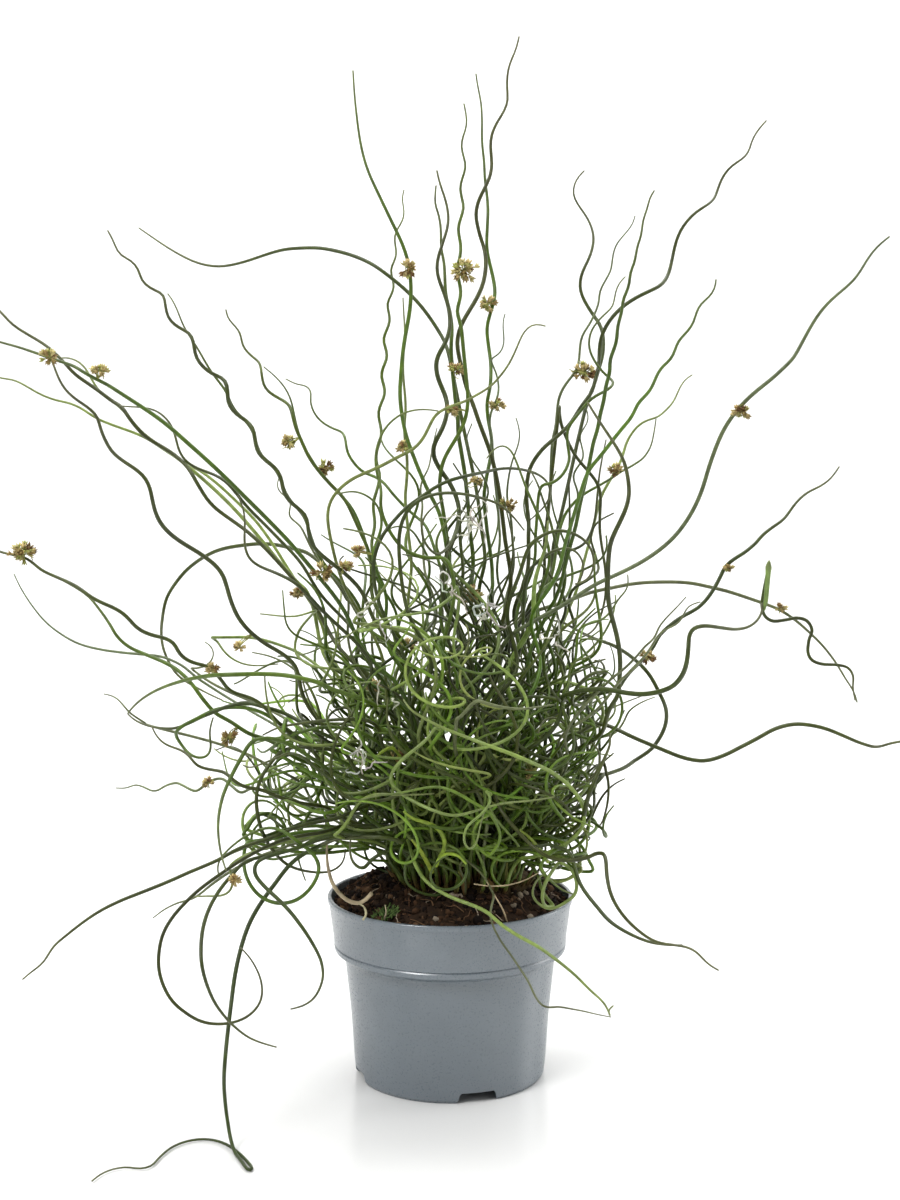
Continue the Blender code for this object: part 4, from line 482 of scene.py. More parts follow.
    ("x52", 1.10, (-6, -7, -5), "olive", [(327, 845), (350, 842), (372, 840), (395, 838), (415, 832)]),
    ("x53", 1.05, (-7, -7, -5), "olive", [(345, 838), (345, 852), (351, 864), (362, 871), (374, 870), (382, 860), (392, 845)]),
    ("x54", 1.50, (-4, -4, -3), "sage_and_highlight", [(548, 522), (546, 545), (541, 565), (536, 585), (531, 605), (524, 635), (512, 690)]),
    ("x55", 0.75, (-2, -3, -2), "grey", [(279, 478), (276, 488), (280, 493), (286, 497), (292, 504), (288, 513), (290, 519), (300, 525), (306, 537), (318, 560), (350, 610)]),
    ("x56", 1.00, (5, 4, 2), "green", [(300, 655), (312, 652), (322, 646), (332, 640), (345, 640), (360, 650), (385, 690), (415, 750)]),
    ("x57", 1.00, (-7, -8, -5), "bright", [(268, 818), (275, 808), (286, 800), (300, 806), (320, 814), (345, 812), (375, 800)]),
    ("x58", 1.00, (-3, -3, -3), "green", [(303, 880), (302, 860), (302, 840), (304, 820), (312, 800), (325, 780), (350, 765), (390, 770)]),
    ("x59", 0.70, (-14, -10, -7), "grey", [(686, 597), (678, 606), (668, 616), (659, 627), (655, 638), (646, 645), (638, 655), (625, 668), (600, 690), (565, 740)]),
    ("x60", 0.75, (-12, -9, -5), "grey", [(700, 602), (688, 606), (684, 615), (678, 624), (667, 628), (658, 636), (648, 652), (630, 672), (600, 700), (560, 760)]),
    ("x61", 0.85, (8, 7, 4), "grey", [(655, 697), (642, 702), (630, 710), (624, 722), (615, 733), (598, 740), (570, 760), (540, 800)]),
    ("x62", 0.80, (7, 7, 4), "grey", [(642, 696), (626, 702), (610, 709), (595, 720), (570, 745), (540, 790)]),
    ("x63", 1.00, (8, 7, 4), "olive", [(606, 440), (600, 470), (597, 500), (595, 520), (588, 540), (574, 549), (555, 553), (535, 565), (520, 600), (505, 680)]),
    ("x64", 1.05, (-2, -2, -1), "green", [(530, 470), (537, 482), (543, 500), (550, 520), (556, 545), (562, 570), (560, 600), (553, 640), (540, 690), (520, 760)]),
    ("x65", 1.00, (2, 2, 1), "olive", [(505, 560), (520, 556), (540, 560), (553, 575), (558, 595), (556, 625), (554, 660), (549, 690), (543, 715), (530, 760)]),
    ("x66", 1.05, (-1, 0, 0), "olive", [(537, 640), (545, 655), (553, 670), (558, 690), (558, 710), (550, 725), (538, 745), (520, 790)]),
]
REPLACED = {n for n in frame["nodes"] if n.startswith("stem_")}

# dry, bleached and young pieces: name, radius, depth, colour, points
EXTRA = [
    ("dry_loop", 1.10, (-5, -5, -5), "dry", [(327, 843), (327, 858), (329, 872), (333, 884), (340, 894), (349, 901), (358, 903), (365, 900), (372, 893)]),
    ("dry_loop2", 0.60, (-6, -6, -6), "dry", [(358, 903), (364, 907), (366, 914), (363, 920)]),
    ("dry_root", 0.38, (-6, -6, -6), "dry", [(540, 872), (525, 880), (508, 885), (490, 886), (474, 884)]),
    ("dry_a", 0.42, (-6, -6, -5), "dry", [(385, 905), (386, 912), (384, 921)]),
    ("dry_b", 0.42, (-7, -6, -5), "dry", [(487, 882), (495, 896), (503, 910), (508, 925), (512, 940)]),
    ("young_a", 1.15, (-8, -7, -6), "young", [(404, 812), (414, 819), (427, 823), (438, 829), (444, 839), (444, 849), (440, 857)]),
    ("young_b", 0.95, (-8, -7, -6), "young", [(466, 864), (458, 856), (448, 854), (440, 858), (436, 866)]),
    ("young_c", 1.20, (-7, -6, -5), "young", [(412, 840), (420, 850), (427, 862), (432, 872)]),
    ("young_d", 0.95, (-6, -5, -4), "young", [(520, 830), (530, 838), (540, 850), (548, 862)]),
    ("young_e", 0.9, (-7, -6, -5), "young", [(372, 762), (382, 752), (392, 748), (400, 756)]),
    ("tip_piece", 1.50, (-13, -12), "sage_and_highlight", [(769, 562), (768, 575), (767, 588), (766, 600), (764, 610)]),
]

spots = []
for k in range(420):
    rr = 0.0395 * math.sqrt((k + 0.5) / 420.0)
    aa = k * math.pi * (3 - math.sqrt(5))
    spots.append((CROWN_X + rr * math.cos(aa), rr * math.sin(aa)))
used = []


def crown_spot(aim, apart=0.0036):
    for gap in (apart, apart * 0.7, apart * 0.4, 0.0):
        free = [s for s in spots if all(math.hypot(s[0] - u[0], s[1] - u[1]) > gap for u in used)]
        if free:
            break
    best = min(free or spots, key=lambda s: math.hypot(s[0] - aim[0], s[1] - aim[1]))
    used.append(best)
    x, y = best
    e = 0.0005
    nrm = np.array([-(crown_height(x + e, y) - crown_height(x - e, y)) / (2 * e),
                    -(crown_height(x, y + e) - crown_height(x, y - e)) / (2 * e), 1.0])
    nrm /= np.linalg.norm(nrm)
    return np.array([x, y, crown_height(x, y) - 0.0015]), nrm


def clear_of_pot(line, r):
    """Keeps a stem out of the pot wall, the peat and the floor."""
    for i in range(len(line)):
        x, y, z = line[i]
        rho = math.hypot(x, y)
        if z < POT_H + r + 0.0004 and 0.0655 < rho < RIM_R + r + 0.0004:
            if z > POT_H - 0.006:
                line[i][2] = POT_H + r + 0.0005
            else:
                k = (RIM_R + r + 0.0006) / rho
                line[i][0] *= k
                line[i][1] *= k
        elif rho <= 0.0655 and i > 6:
            g = soil_height(x, y)
            if math.hypot(x - CROWN_X, y) < CROWN_R:
                g = max(g, crown_height(x, y) - 0.003)
            if z < g + r * 0.8:
                line[i][2] = g + r * 0.8
        if line[i][2] < r:
            line[i][2] = r
    return line


def unsettled(line, rg):
    """Winds the part of a stem that runs through the tangle over the crown."""
    s = np.concatenate([[0], np.cumsum(np.linalg.norm(np.diff(line, axis=0), axis=1))])
    rho = np.hypot(line[:, 0] - CROWN_X, line[:, 1])
    w = np.clip((0.120 - rho) / 0.05, 0, 1) * np.clip((0.31 - line[:, 2]) / 0.07, 0, 1) * np.clip((s - 0.010) / 0.03, 0, 1)
    a, lam = rg.uniform(0.0045, 0.0085), rg.uniform(0.050, 0.095)
    ph = rg.uniform(0, math.tau) + s / lam * math.tau * rg.choice([-1, 1])
    out = line.copy()
    out[:, 0] += w * a * np.sin(ph)
    out[:, 1] += w * a * np.cos(ph)
    out[:, 2] += w * a * 0.35 * np.sin(ph * 0.7)
    return out


def traced_line(spec, n, root=True):
    name, rad, depth, kind, pts = spec
    r = rad / 1000.0
    flat = [(p[0], p[1]) for p in pts]
    floor_n = sum(1 for p in pts if len(p) > 2)
    length = np.concatenate([[0], np.cumsum([math.dist(flat[i], flat[i - 1]) for i in range(1, len(flat))])])
    ys = np.interp(length / length[-1], np.linspace(0, 1, len(depth)), depth) / 100.0
    world = []
    touch = on_floor(*flat[floor_n - 1], r)[1] if floor_n else 0.0
    for i, (px, py) in enumerate(flat):
        if i < floor_n:
            world.append(on_floor(px, py, r))
        elif floor_n and i < floor_n + 7:
            k = (i - floor_n + 1) / 8.0
            world.append(at(px, py, touch * (1 - k) + ys[i] * k))
        else:
            world.append(at(px, py, ys[i]))
    world = np.array(world)
    world[:, 0] = np.clip(world[:, 0], -HALF_X, HALF_X)
    world[:, 1] = np.clip(world[:, 1], -HALF_Y, HALF_Y)
    fine = rounded(world, n)
    if not floor_n and root and not name.startswith("ll"):
        fine[:, 1] += corkscrew(fine) * np.clip(np.linspace(0, 6, n), 0, 1)
    fine = fine[::-1]
    if root:
        low = fine[0]
        base, nrm = crown_spot((CROWN_X + (low[0] - CROWN_X) * 0.42, low[1] * 0.75))
        gap = np.linalg.norm(low - base)
        lead = [base, base + nrm * 0.006, base + nrm * 0.014 + np.array([0, 0, 0.003])]
        if gap > 0.05:
            mid = (lead[-1] + low) / 2
            lead.append(mid + np.array([0, 0, 0.1 * gap]) * (1 if low[2] < 0.25 else 0.0))
        fine = rounded(np.vstack([lead, fine[2::3], fine[-1:]]), n)
        fine = softened(fine, 4 if name[0] == "x" else 1)
        fine = unsettled(fine, np.random.default_rng(int(sum(ord(ch) for ch in name) * 7)))
    return clear_of_pot(fine, r), r


rng = np.random.default_rng(708)
seg = 150
heaps = {}
for spec in TRACED:
    name, rad, depth, kind, pts = spec
    node_name = "stem_" + name
    line, r = traced_line(spec, seg, root=name != "r12")
    rg = np.random.default_rng(sum(ord(ch) * (i + 3) for i, ch in enumerate(name)))
    taper = stem_radii(len(line), r, 0.36, 0.30) * 0.92 if name == "ll2" else stem_radii(len(line), r)
    v, f, s = tube(line, taper, 8)
    cols = stem_colours(s, kind, rg)
    if node_name in REPLACED:
        h = Heap(name + "_stem", M_STEM, "stem_green")
        h.add(v, f, cols)
        slotname = {"l12": "stem_dry", "l09": "stem_dry", "b03": "stem_dry"}.get(name, "stem_olive" if name in {"l07", "l10", "r10", "t04", "l05", "r14", "t01", "r01"} else "stem_green")
        h.slot = slotname
        h.build((node_name,))
    else:
        zone = "curls_left" if pts[0][0] < 330 else ("curls_right" if pts[0][0] > 545 else "curls_middle")
        if zone not in heaps:
            heaps[zone] = Heap(zone, M_STEM, "stem_green")
        heaps[zone].add(v, f, cols)

dry = Heap("dry_and_bleached_curls", M_DRY, "stem_dry")
young = Heap("young_shoots", M_STEM, "stem_green")
for spec in EXTRA:
    line, r = traced_line(spec, 60, root=False)
    rg = np.random.default_rng(len(spec[0]) * 31 + int(spec[4][0][0]))
    rad = stem_radii(len(line), r, 0.45, 0.5)
    if spec[0] == "tip_piece":
        rad = r * np.interp(np.linspace(0, 1, len(line)), [0, 0.15, 0.75, 0.9, 1.0], [0.45, 0.75, 0.9, 1.1, 0.55])
    v, f, s = tube(line, rad, 8)
    c = stem_colours(s, spec[3], rg, sheath=False)
    (dry if spec[3] in ("dry", "white") else young).add(v, f, c)


# bleached, crinkled scraps of old stem caught in the tangle
rg = np.random.default_rng(62)
for cx, cy, spread, many, near in ((478, 528, 13, 9, -0.085), (488, 612, 12, 7, -0.085), (447, 590, 8, 4, -0.085), (360, 764, 13, 8, -0.085),
                                   (372, 610, 14, 4, -0.080), (385, 690, 10, 2, -0.075), (545, 640, 12, 3, -0.07)):
    for j in range(many):
        c = at(cx + rg.normal(0, spread * 0.5), cy + rg.normal(0, spread * 0.6), near + rg.normal(0, 0.006))
        d = rg.normal(0, 1, 3)
        d /= np.linalg.norm(d)
        pts = [c]
        for k in range(9):
            d = d + rg.normal(0, 0.45, 3)
            d /= np.linalg.norm(d)
            pts.append(pts[-1] + d * rg.uniform(0.0012, 0.0024))
        line = rounded(np.array(pts), 36)
        v, f, s = tube(line, stem_radii(36, rg.uniform(0.0003, 0.0006), 0.4, 0.5), 6)
        dry.add(v, f, stem_colours(s, "white", rg, sheath=False))


# --------------------------------------------------- wound stems by rule
MASS = [(325, 455), (395, 405), (520, 402), (592, 436), (612, 520), (612, 620), (612, 700), (616, 790), (596, 862), (575, 900),
        (330, 885), (262, 852), (226, 800), (205, 720), (214, 668), (262, 610), (296, 540)]


def inside(px, py, grow):
    """Whether a photograph position lies within the outline of the dense mass."""
    hit = False
    k = len(MASS)
    for i in range(k):
        x0, y0 = (MASS[i][0] - 430) * grow + 430, (MASS[i][1] - 680) * grow + 680
        x1, y1 = (MASS[(i + 1) % k][0] - 430) * grow + 430, (MASS[(i + 1) % k][1] - 680) * grow + 680
        if (y0 > py) != (y1 > py) and px < (x1 - x0) * (py - y0) / (y1 - y0) + x0:
            hit = not hit
    return hit


def kept(line, grow):
    q = line - EYE
    d = q @ FWD
    ux, uy = 450 + SCALE * q[:, 0] / d, 600 - SCALE * (q @ UP) / d
    for i in range(20, len(line)):
        if not inside(ux[i], uy[i], grow):
            if i < 0.58 * len(line):
                return None
            short = line[:max(i, 24)]
            return rounded(short[::3] if len(short) > 30 else short, max(40, int(len(line) * len(short) / len(line))))
    return line


def wound(rg, base, nrm, heading, lift, length, amp, wave, droop, r, n=86, curl=0.0, pull=0.0):
    """A stem that leaves the crown, arches over and winds about its own axis."""
    out = np.array([math.cos(heading), math.sin(heading), 0.0])
    d = out * math.cos(lift) + np.array([0, 0, math.sin(lift)])
    p = base.copy()
    t = nrm * 0.6 + d * 0.4
    t /= np.linalg.norm(t)
    step = length / n
    axis = [p.copy()]
    turn = rg.normal(0, 0.5)
    for i in range(n):
        k = i / n
        aim = d + np.array([0, 0, -droop * k * k]) + np.cross(d, [0, 0, 1.0]) * math.sin(k * 3.1 + turn) * pull
        aim /= np.linalg.norm(aim)
        t = t + (aim - t) * 0.10
        t /= np.linalg.norm(t)
        p = p + t * step
        axis.append(p.copy())
    axis = np.array(axis)
    tt = np.gradient(axis, axis=0)
    tt /= np.linalg.norm(tt, axis=1)[:, None] + 1e-12
    a = np.cross(tt, np.array([0.2, 0.5, 0.84]))
    a /= np.linalg.norm(a, axis=1)[:, None] + 1e-9
    b = np.cross(tt, a)
    k = np.linspace(0, 1, len(axis))
    w1 = wave * (1 + 0.35 * np.sin(k * rg.uniform(2, 5) + rg.uniform(0, 6)))
    ph = rg.uniform(0, math.tau) + np.cumsum(np.full(len(axis), step) / w1) * math.tau * rg.choice([-1, 1])
    amps = amp * np.clip(k * 4.0, 0, 1) ** 1.3 * (1 + 0.4 * np.sin(k * rg.uniform(3, 7) + rg.uniform(0, 6)))
    amps = amps * (1 + curl * k)
    line = axis + a * (amps * np.cos(ph))[:, None] + b * (amps * np.sin(ph))[:, None] * rg.uniform(0.6, 1.0)
    line = np.vstack([line[:1], line[3:]])
    for ax, lim in ((0, HALF_X - 0.004), (1, HALF_Y - 0.004)):
        reach = np.abs(line[:, ax] - base[ax]).max()
        room = lim - abs(base[ax])
        if reach > room:
            line[:, ax] = base[ax] + (line[:, ax] - base[ax]) * room / reach
    return clear_of_pot(line, r)


def crowd(name, count, seed, kinds, heads, lifts, lengths, amps, waves, droops, rads, pull=0.25, curl=0.0):
    h = Heap(name, M_STEM, "stem_green")
    rg = np.random.default_rng(seed)
    for i in range(count):
        head = math.radians(rg.uniform(*heads) if not callable(heads) else heads(rg))
        lift = math.radians(rg.uniform(*lifts))
        rr = 0.040 * math.sqrt(rg.uniform(0.02, 1))
        sp = math.cos(lift) * 0.8
        aim = (CROWN_X + rr * (math.cos(head) * sp + rg.normal(0, 0.35)), rr * (math.sin(head) * sp + rg.normal(0, 0.35)))
        base, nrm = crown_spot(aim, 0.0022)
        r = rg.uniform(*rads) * 0.90 / 1000.0
        line = wound(rg, base, nrm, head, lift, rg.uniform(*lengths), rg.uniform(*amps), rg.uniform(*waves),
                     rg.uniform(*droops), r, curl=curl * rg.uniform(0, 1), pull=pull)
        # none of them stands out far in front of the clump
        front = np.clip(-0.045 - line[:, 1], 0, None)
        line[:, 1] = np.where(front > 0, -0.045 - 0.035 * np.tanh(front / 0.035), line[:, 1])
        line = kept(clear_of_pot(line, r), rg.uniform(0.90, 1.10))
        if line is None:
            used.pop()
            continue
        v, f, s = tube(line, stem_radii(len(line), r, 0.50, 0.75), 7)
        kind = kinds[int(rg.integers(len(kinds)))]
        # painted shade: stem colour darkened in the heart of the clump and just above the peat; stems at the outside,
        # the front and high up keep their full colour
        deep = np.clip((np.hypot(v[:, 0] - CROWN_X, v[:, 1]) - 0.018) / 0.045, 0, 1) + np.clip(-v[:, 1] / 0.06, 0, 1)
        high = np.clip((v[:, 2] - 0.20) / 0.10, 0, 1)
        painted_shade = np.clip(0.50 + 0.50 * np.maximum(deep, high), 0, 1.0)
        # painted shade: darker just above the peat
        low = np.clip(0.42 + (v[:, 2] - 0.116) / 0.075, 0.42, 1.0)
        h.add(v, f, stem_colours(s, kind, rg, 0.35) * (painted_shade * low)[:, None] * rg.uniform(0.68, 1.40))
    return h


GREENS = ["olive", "green", "green", "bright", "sage_and_highlight"]
crowds = [
    crowd("upright_stems_a", 16, 11, ["olive", "green", "green", "olive"], (0, 360), (66, 90), (0.16, 0.27), (0.004, 0.011), (0.040, 0.085), (0.0, 0.3), (0.75, 1.15), 0.3),
    crowd("upright_stems_b", 20, 12, ["olive", "green", "sage_and_highlight", "green"], (0, 360), (55, 80), (0.14, 0.25), (0.006, 0.016), (0.055, 0.105), (0.1, 0.6), (0.80, 1.20), 0.4),
    crowd("fan_stems_left", 17, 13, GREENS, (135, 235), (22, 66), (0.11, 0.19), (0.007, 0.018), (0.05, 0.10), (0.1, 0.8), (0.80, 1.15), 0.5),
    crowd("fan_stems_right", 13, 14, GREENS, (-60, 50), (30, 70), (0.10, 0.18), (0.007, 0.016), (0.05, 0.10), (0.1, 0.7), (0.80, 1.15), 0.5),
    crowd("fan_stems_back", 30, 15, ["olive", "green", "green", "sage_and_highlight"], (35, 145), (8, 60), (0.15, 0.27), (0.006, 0.016), (0.06, 0.12), (0.1, 0.7), (0.80, 1.20), 0.4),
    crowd("fan_stems_front", 24, 16, GREENS, (225, 315), (40, 76), (0.11, 0.20), (0.007, 0.016), (0.05, 0.10), (0.1, 0.7), (0.80, 1.15), 0.5),
    crowd("tangle_left", 21, 17, GREENS, (120, 250), (10, 66), (0.10, 0.19), (0.012, 0.024), (0.06, 0.12), (0.2, 1.2), (0.75, 1.10), 0.7),
    crowd("tangle_right", 18, 18, GREENS, (-70, 60), (20, 75), (0.10, 0.18), (0.012, 0.022), (0.06, 0.11), (0.2, 1.2), (0.75, 1.10), 0.7),
    crowd("tangle_middle", 30, 19, GREENS, (0, 360), (45, 88), (0.12, 0.21), (0.012, 0.026), (0.07, 0.13), (0.0, 0.9), (0.80, 1.15), 0.7),
    crowd("low_curls", 20, 20, ["olive", "green", "sage_and_highlight", "bright"], (0, 360), (10, 50), (0.06, 0.12), (0.008, 0.018), (0.04, 0.08), (0.2, 1.0), (0.75, 1.05), 0.7),
    crowd("inner_shoots", 32, 21, ["bright", "green", "bright", "olive"], (0, 360), (55, 88), (0.05, 0.14), (0.004, 0.012), (0.035, 0.08), (0.0, 0.3), (0.80, 1.20), 0.4),
]
names_by_tuft = {"tangle_left": "tuft_left", "tangle_right": "tuft_right", "fan_stems_front": "tuft_front",
                 "fan_stems_back": "tuft_back", "tangle_middle": "tuft_middle"}
for h in crowds:
    h.build((names_by_tuft[h.name],) if h.name in names_by_tuft else ())

# curled stems low in the clump, most of them on the right
nest = Heap("curled_stems", M_STEM, "stem_green")
rg = np.random.default_rng(77)
NEST = [(548, 790, 13, 24, 15), (560, 832, 12, 14, 9), (585, 712, 10, 16, 5), (470, 838, 10, 14, 1), (420, 800, 26, 24, 3), (300, 760, 22, 30, 7), (275, 835, 16, 12, 3), (360, 700, 26, 34, 5)]
for cx0, cy0, sx, sy, many in NEST:
    for i in range(many):
        cx, cy = cx0 + rg.normal(0, sx * 0.6), cy0 + rg.normal(0, sy * 0.7)
        c = at(cx, cy, rg.uniform(-0.060, 0.035))
        u = rg.normal(0, 1, 3)
        u /= np.linalg.norm(u)
        w = np.cross(u, rg.normal(0, 1, 3))
        w /= np.linalg.norm(w)
        R0 = rg.uniform(0.008, 0.018)
        turns = rg.uniform(0.7, 1.7)
        k = np.linspace(0, 1, 60)
        ph = k * turns * math.tau + rg.uniform(0, 6)
        rad = R0 * (1 + 0.30 * np.sin(k * rg.uniform(3, 6) + i))
        drift = np.cross(u, w) * rg.uniform(-0.020, 0.020)
        line = c + u * (rad * np.cos(ph))[:, None] + w * (rad * np.sin(ph))[:, None] + drift * k[:, None]
        r = rg.uniform(0.72, 1.05) / 1000
        # the lower end goes on into the clump
        if line[0][2] > line[-1][2]:
            line = line[::-1]
        inner = np.array([CROWN_X + (line[0][0] - CROWN_X) * 0.45, line[0][1] * 0.5, max(0.135, line[0][2] - 0.035)])
        mid = (line[0] + inner) / 2 - (line[6] - line[0]) * 0.5
        line = rounded(np.vstack([inner, mid, line[::4], line[-1:]]), 74)
        line = clear_of_pot(line, r)
        v, f, s = tube(line, stem_radii(74, r, 0.5), 7)
        nest.add(v, f, stem_colours(s, ["green", "sage_and_highlight", "green", "olive", "bright"][i % 5], rg, 0.4, sheath=False))
nest.build()

for h in heaps.values():
    h.build()
dry.build()
young.build()

# ---------------------------------------------------------- flower heads
HEADS = [
    ("flower_01", 409, 268, 7.0, "t02"), ("flower_02", 464, 269, 11.0, "t03"), ("flower_03", 487, 303, 6.5, "t06"),
    ("flower_04", 457, 370, 6.5, "t05"), ("flower_05", 743, 411, 6.5, "r08"), ("flower_06", 24, 553, 10.0, "l07"),
    ("flower_07", 99, 371, 6.0, "l04"), ("flower_08", 780, 608, 4.0, "r11"),
    ("", 497, 405, 5.5, "x07"), ("", 404, 447, 5.0, "x01"), ("", 584, 372, 9.0, "r04"), ("", 617, 470, 6.0, "r07b"),
    ("", 289, 441, 6.0, "x45"), ("", 325, 467, 7.0, "x45"), ("", 345, 567, 5.5, "l01"), ("", 322, 572, 7.0, "l04"),
    ("", 298, 592, 4.5, "l03"), ("", 358, 551, 4.5, "x08"), ("", 508, 505, 6.5, "t01"), ("", 470, 594, 9.0, "t05"),
    ("", 362, 688, 6.5, "l02"), ("", 229, 738, 6.0, "l08"), ("", 208, 782, 5.0, "l12"), ("", 648, 657, 5.5, "r09"),
    ("", 408, 645, 6.0, "x11"), ("", 240, 647, 3.5, "l05"), ("", 235, 880, 3.0, "ll4"), ("", 729, 568, 2.6, "r09"),
    ("", 476, 482, 5.0, "t05"), ("", 388, 762, 6.5, "l01"), ("", 50, 357, 5.5, "l05"), ("", 213, 668, 4.5, "l07"),
    ("", 537, 783, 5.0, "b01"), ("", 453, 410, 3.5, "t03"), ("", 355, 687, 5.0, "l02"),
]
LINES = {}
for spec in TRACED:
    if spec[0] in {h[4] for h in HEADS}:
        saved = list(used)
        LINES[spec[0]] = spec


def floret(rg, c, d, size):
    """One small flower: a bud with six pointed tepals."""
    d = d / (np.linalg.norm(d) + 1e-9)
    a = np.cross(d, [0.3, 0.9, 0.2])
    a /= np.linalg.norm(a)
    b = np.cross(d, a)
    V, F, S = [], [], []
    base = 0
    for k in range(6):
        ph = k * math.tau / 6 + rg.uniform(-0.2, 0.2)
        o = a * math.cos(ph) + b * math.sin(ph)
        tip = c + (d * rg.uniform(0.7, 0.95) + o * rg.uniform(0.35, 0.70)) * size
        root = c + o * size * 0.10
        side = np.cross(o, d) * size * 0.22
        mid = (root * 0.55 + tip * 0.45)
        V += [root - side * 0.6, root + side * 0.6, mid - side, mid + side, tip, mid - d * size * 0.12 + o * size * 0.05]
        q = base
        F += [(q, q + 1, q + 3, q + 2), (q + 2, q + 3, q + 4), (q + 1, q, q + 5), (q + 3, q + 1, q + 5), (q + 4, q + 3, q + 5), (q + 2, q + 4, q + 5), (q, q + 2, q + 5)]
        S += [0, 0, 0.5, 0.5, 1.0, 0.4]
        base += 6
    # the seed capsule in the middle
    ring = 5
    for z, w in ((-0.25, 0.10), (0.05, 0.26), (0.35, 0.20)):
        for j in range(ring):
            ph = j * math.tau / ring
            V.append(c + d * size * z + (a * math.cos(ph) + b * math.sin(ph)) * size * w)
            S.append(0.3 + z)
    V += [c + d * size * 0.62, c - d * size * 0.4]
    S += [0.9, 0.0]
    o = base
    for i in range(2):
        for j in range(ring):
            j2 = (j + 1) % ring
            F.append((o + i * ring + j, o + i * ring + j2, o + (i + 1) * ring + j2, o + (i + 1) * ring + j))
    for j in range(ring):
        j2 = (j + 1) % ring
        F.append((o + 2 * ring + j, o + 2 * ring + j2, o + 3 * ring))
        F.append((o + j2, o + j, o + 3 * ring + 1))
    return np.array(V), F, np.array(S)


FL = [np.array([0.42, 0.33, 0.145]), np.array([0.30, 0.215, 0.080]), np.array([0.46, 0.40, 0.170]),
      np.array([0.33, 0.34, 0.100]), np.array([0.185, 0.110, 0.045])]
PIECE_LINES = {ob.name[:-5]: ob for ob in bpy.data.objects if ob.name.endswith("_stem")}
more_heads = Heap("small_flower_heads", M_FLOWER, "flower_tan")


def depth_on(name, px, py):
    """Where the named stem passes nearest to a photograph position."""
    spec = next(s for s in TRACED if s[0] == name)
    ob = PIECE_LINES.get(name)
    if ob is not None:
        co = np.empty(len(ob.data.vertices) * 3)
        ob.data.vertices.foreach_get("co", co)
        co = co.reshape(-1, 3)[:-2].reshape(-1, 8, 3).mean(1)
    else:
        pts = spec[4]
        ln = np.concatenate([[0], np.cumsum([math.dist(pts[i][:2], pts[i - 1][:2]) for i in range(1, len(pts))])])
        ys = np.interp(ln / ln[-1], np.linspace(0, 1, len(spec[2])), spec[2]) / 100
        co = rounded(np.array([at(p[0], p[1], y) for p, y in zip(pts, ys)]), 120)
    q = co - EYE
    d = q @ FWD
    ux, uy = 450 + SCALE * q[:, 0] / d, 600 - SCALE * (q @ UP) / d
    i = int(np.hypot(ux - px, uy - py).argmin())
    return co[i]


for k, (node_name, px, py, size, on) in enumerate(HEADS):
    rg = np.random.default_rng(500 + k)
    touch = depth_on(on, px, py)
    c = at(px, py, touch[1] - 0.0035)
    if np.linalg.norm(c - touch) > 0.012:
        c = touch + (c - touch) / np.linalg.norm(c - touch) * 0.012
    h = Heap(node_name + "_head", M_FLOWER, "flower_tan") if node_name else more_heads
    R0 = size / 1000.0
    count = int(6 + size * 1.7)
    # short stalks from the stem to the cluster
    for j in range(3 + int(size / 3)):
        e = c + rg.normal(0, 0.35, 3) * R0
        mid = (touch + e) / 2 + rg.normal(0, 0.15, 3) * R0
        line = rounded(np.array([touch, mid, e]), 8)
        v, f, s = tube(line, np.linspace(0.00035, 0.00025, 8), 5)
        h.add(v, f, np.repeat((FL[3] * 0.8)[None, :], len(v), axis=0))
    for j in range(count):
        dirn = rg.normal(0, 1, 3)
        dirn /= np.linalg.norm(dirn)
        pos = c + dirn * np.array([1.0, 0.8, 0.72]) * R0 * rg.uniform(0.18, 0.66)
        stalk = rounded(np.array([c, (c + pos) / 2 + rg.normal(0, 0.0003, 3), pos]), 5)
        pv, pf, ps = tube(stalk, np.full(5, 0.00022), 4)
        h.add(pv, pf, np.repeat((FL[3] * 0.7)[None, :], len(pv), axis=0))
        v, f, s = floret(rg, pos, dirn + np.array([0, 0, 0.3]), rg.uniform(0.0023, 0.0034) * (0.85 + size / 24))
        col = FL[int(rg.choice(5, p=[0.34, 0.22, 0.18, 0.12, 0.14]))] * rg.uniform(0.8, 1.2)
        cc = col[None, :] * (0.75 + 0.5 * s[:, None])
        h.add(v, f, cc)
    if node_name:
        h.build((node_name,))
more_heads.build()


# -------------------------------------------------------------------- pot
def lathe(profile, steps):
    n = len(profile)
    V, F = [], []
    for i in range(steps):
        a = math.tau * i / steps
        for r, z in profile:
            V.append((r * math.cos(a), r * math.sin(a), z))
    for i in range(steps):
        j = (i + 1) % steps
        for k in range(n):
            k2 = (k + 1) % n
            F.append((i * n + k, j * n + k, j * n + k2, i * n + k2))
    return V, F


def arc(cx, cz, r, a0, a1, n):
    return [(cx + r * math.cos(math.radians(a0 + (a1 - a0) * i / n)), cz + r * math.sin(math.radians(a0 + (a1 - a0) * i / n))) for i in range(n + 1)]


lip = 0.0008
profile = []
profile += arc(RIM_R - lip, POT_H - lip, lip, 90, 0, 5)
profile += [(RIM_R, POT_H - 0.0028)]
profile += [(RIM_R - 0.0003, POT_H - 0.0034), (RIM_R - 0.0008, POT_H - 0.0042)]
profile += [(BAND_R + 0.0007, BAND_Z + 0.006), (BAND_R + 0.0005, BAND_Z + 0.0025), (BAND_R - 0.0002, BAND_Z + 0.0019), (BAND_R + 0.0004, BAND_Z + 0.0011)]
profile += arc(BAND_R - 0.0009, BAND_Z - 0.0008, 0.0011, 0, -62, 5)
profile += [(BODY_R + 0.0022, BAND_Z - 0.0037), (BODY_R + 0.0012, BAND_Z - 0.0042), (BODY_R + 0.0006, BAND_Z - 0.0050), (BODY_R + 0.0003, BODY_Z - 0.0006)]
profile += [(BODY_R - 0.0002, BODY_Z - 0.006), (BODY_R - 0.0028, 0.038), (FOOT_R + 0.0010, 0.0095)]
profile += arc(FOOT_R - 0.0010, 0.0022, 0.0012, 8, -60, 3)
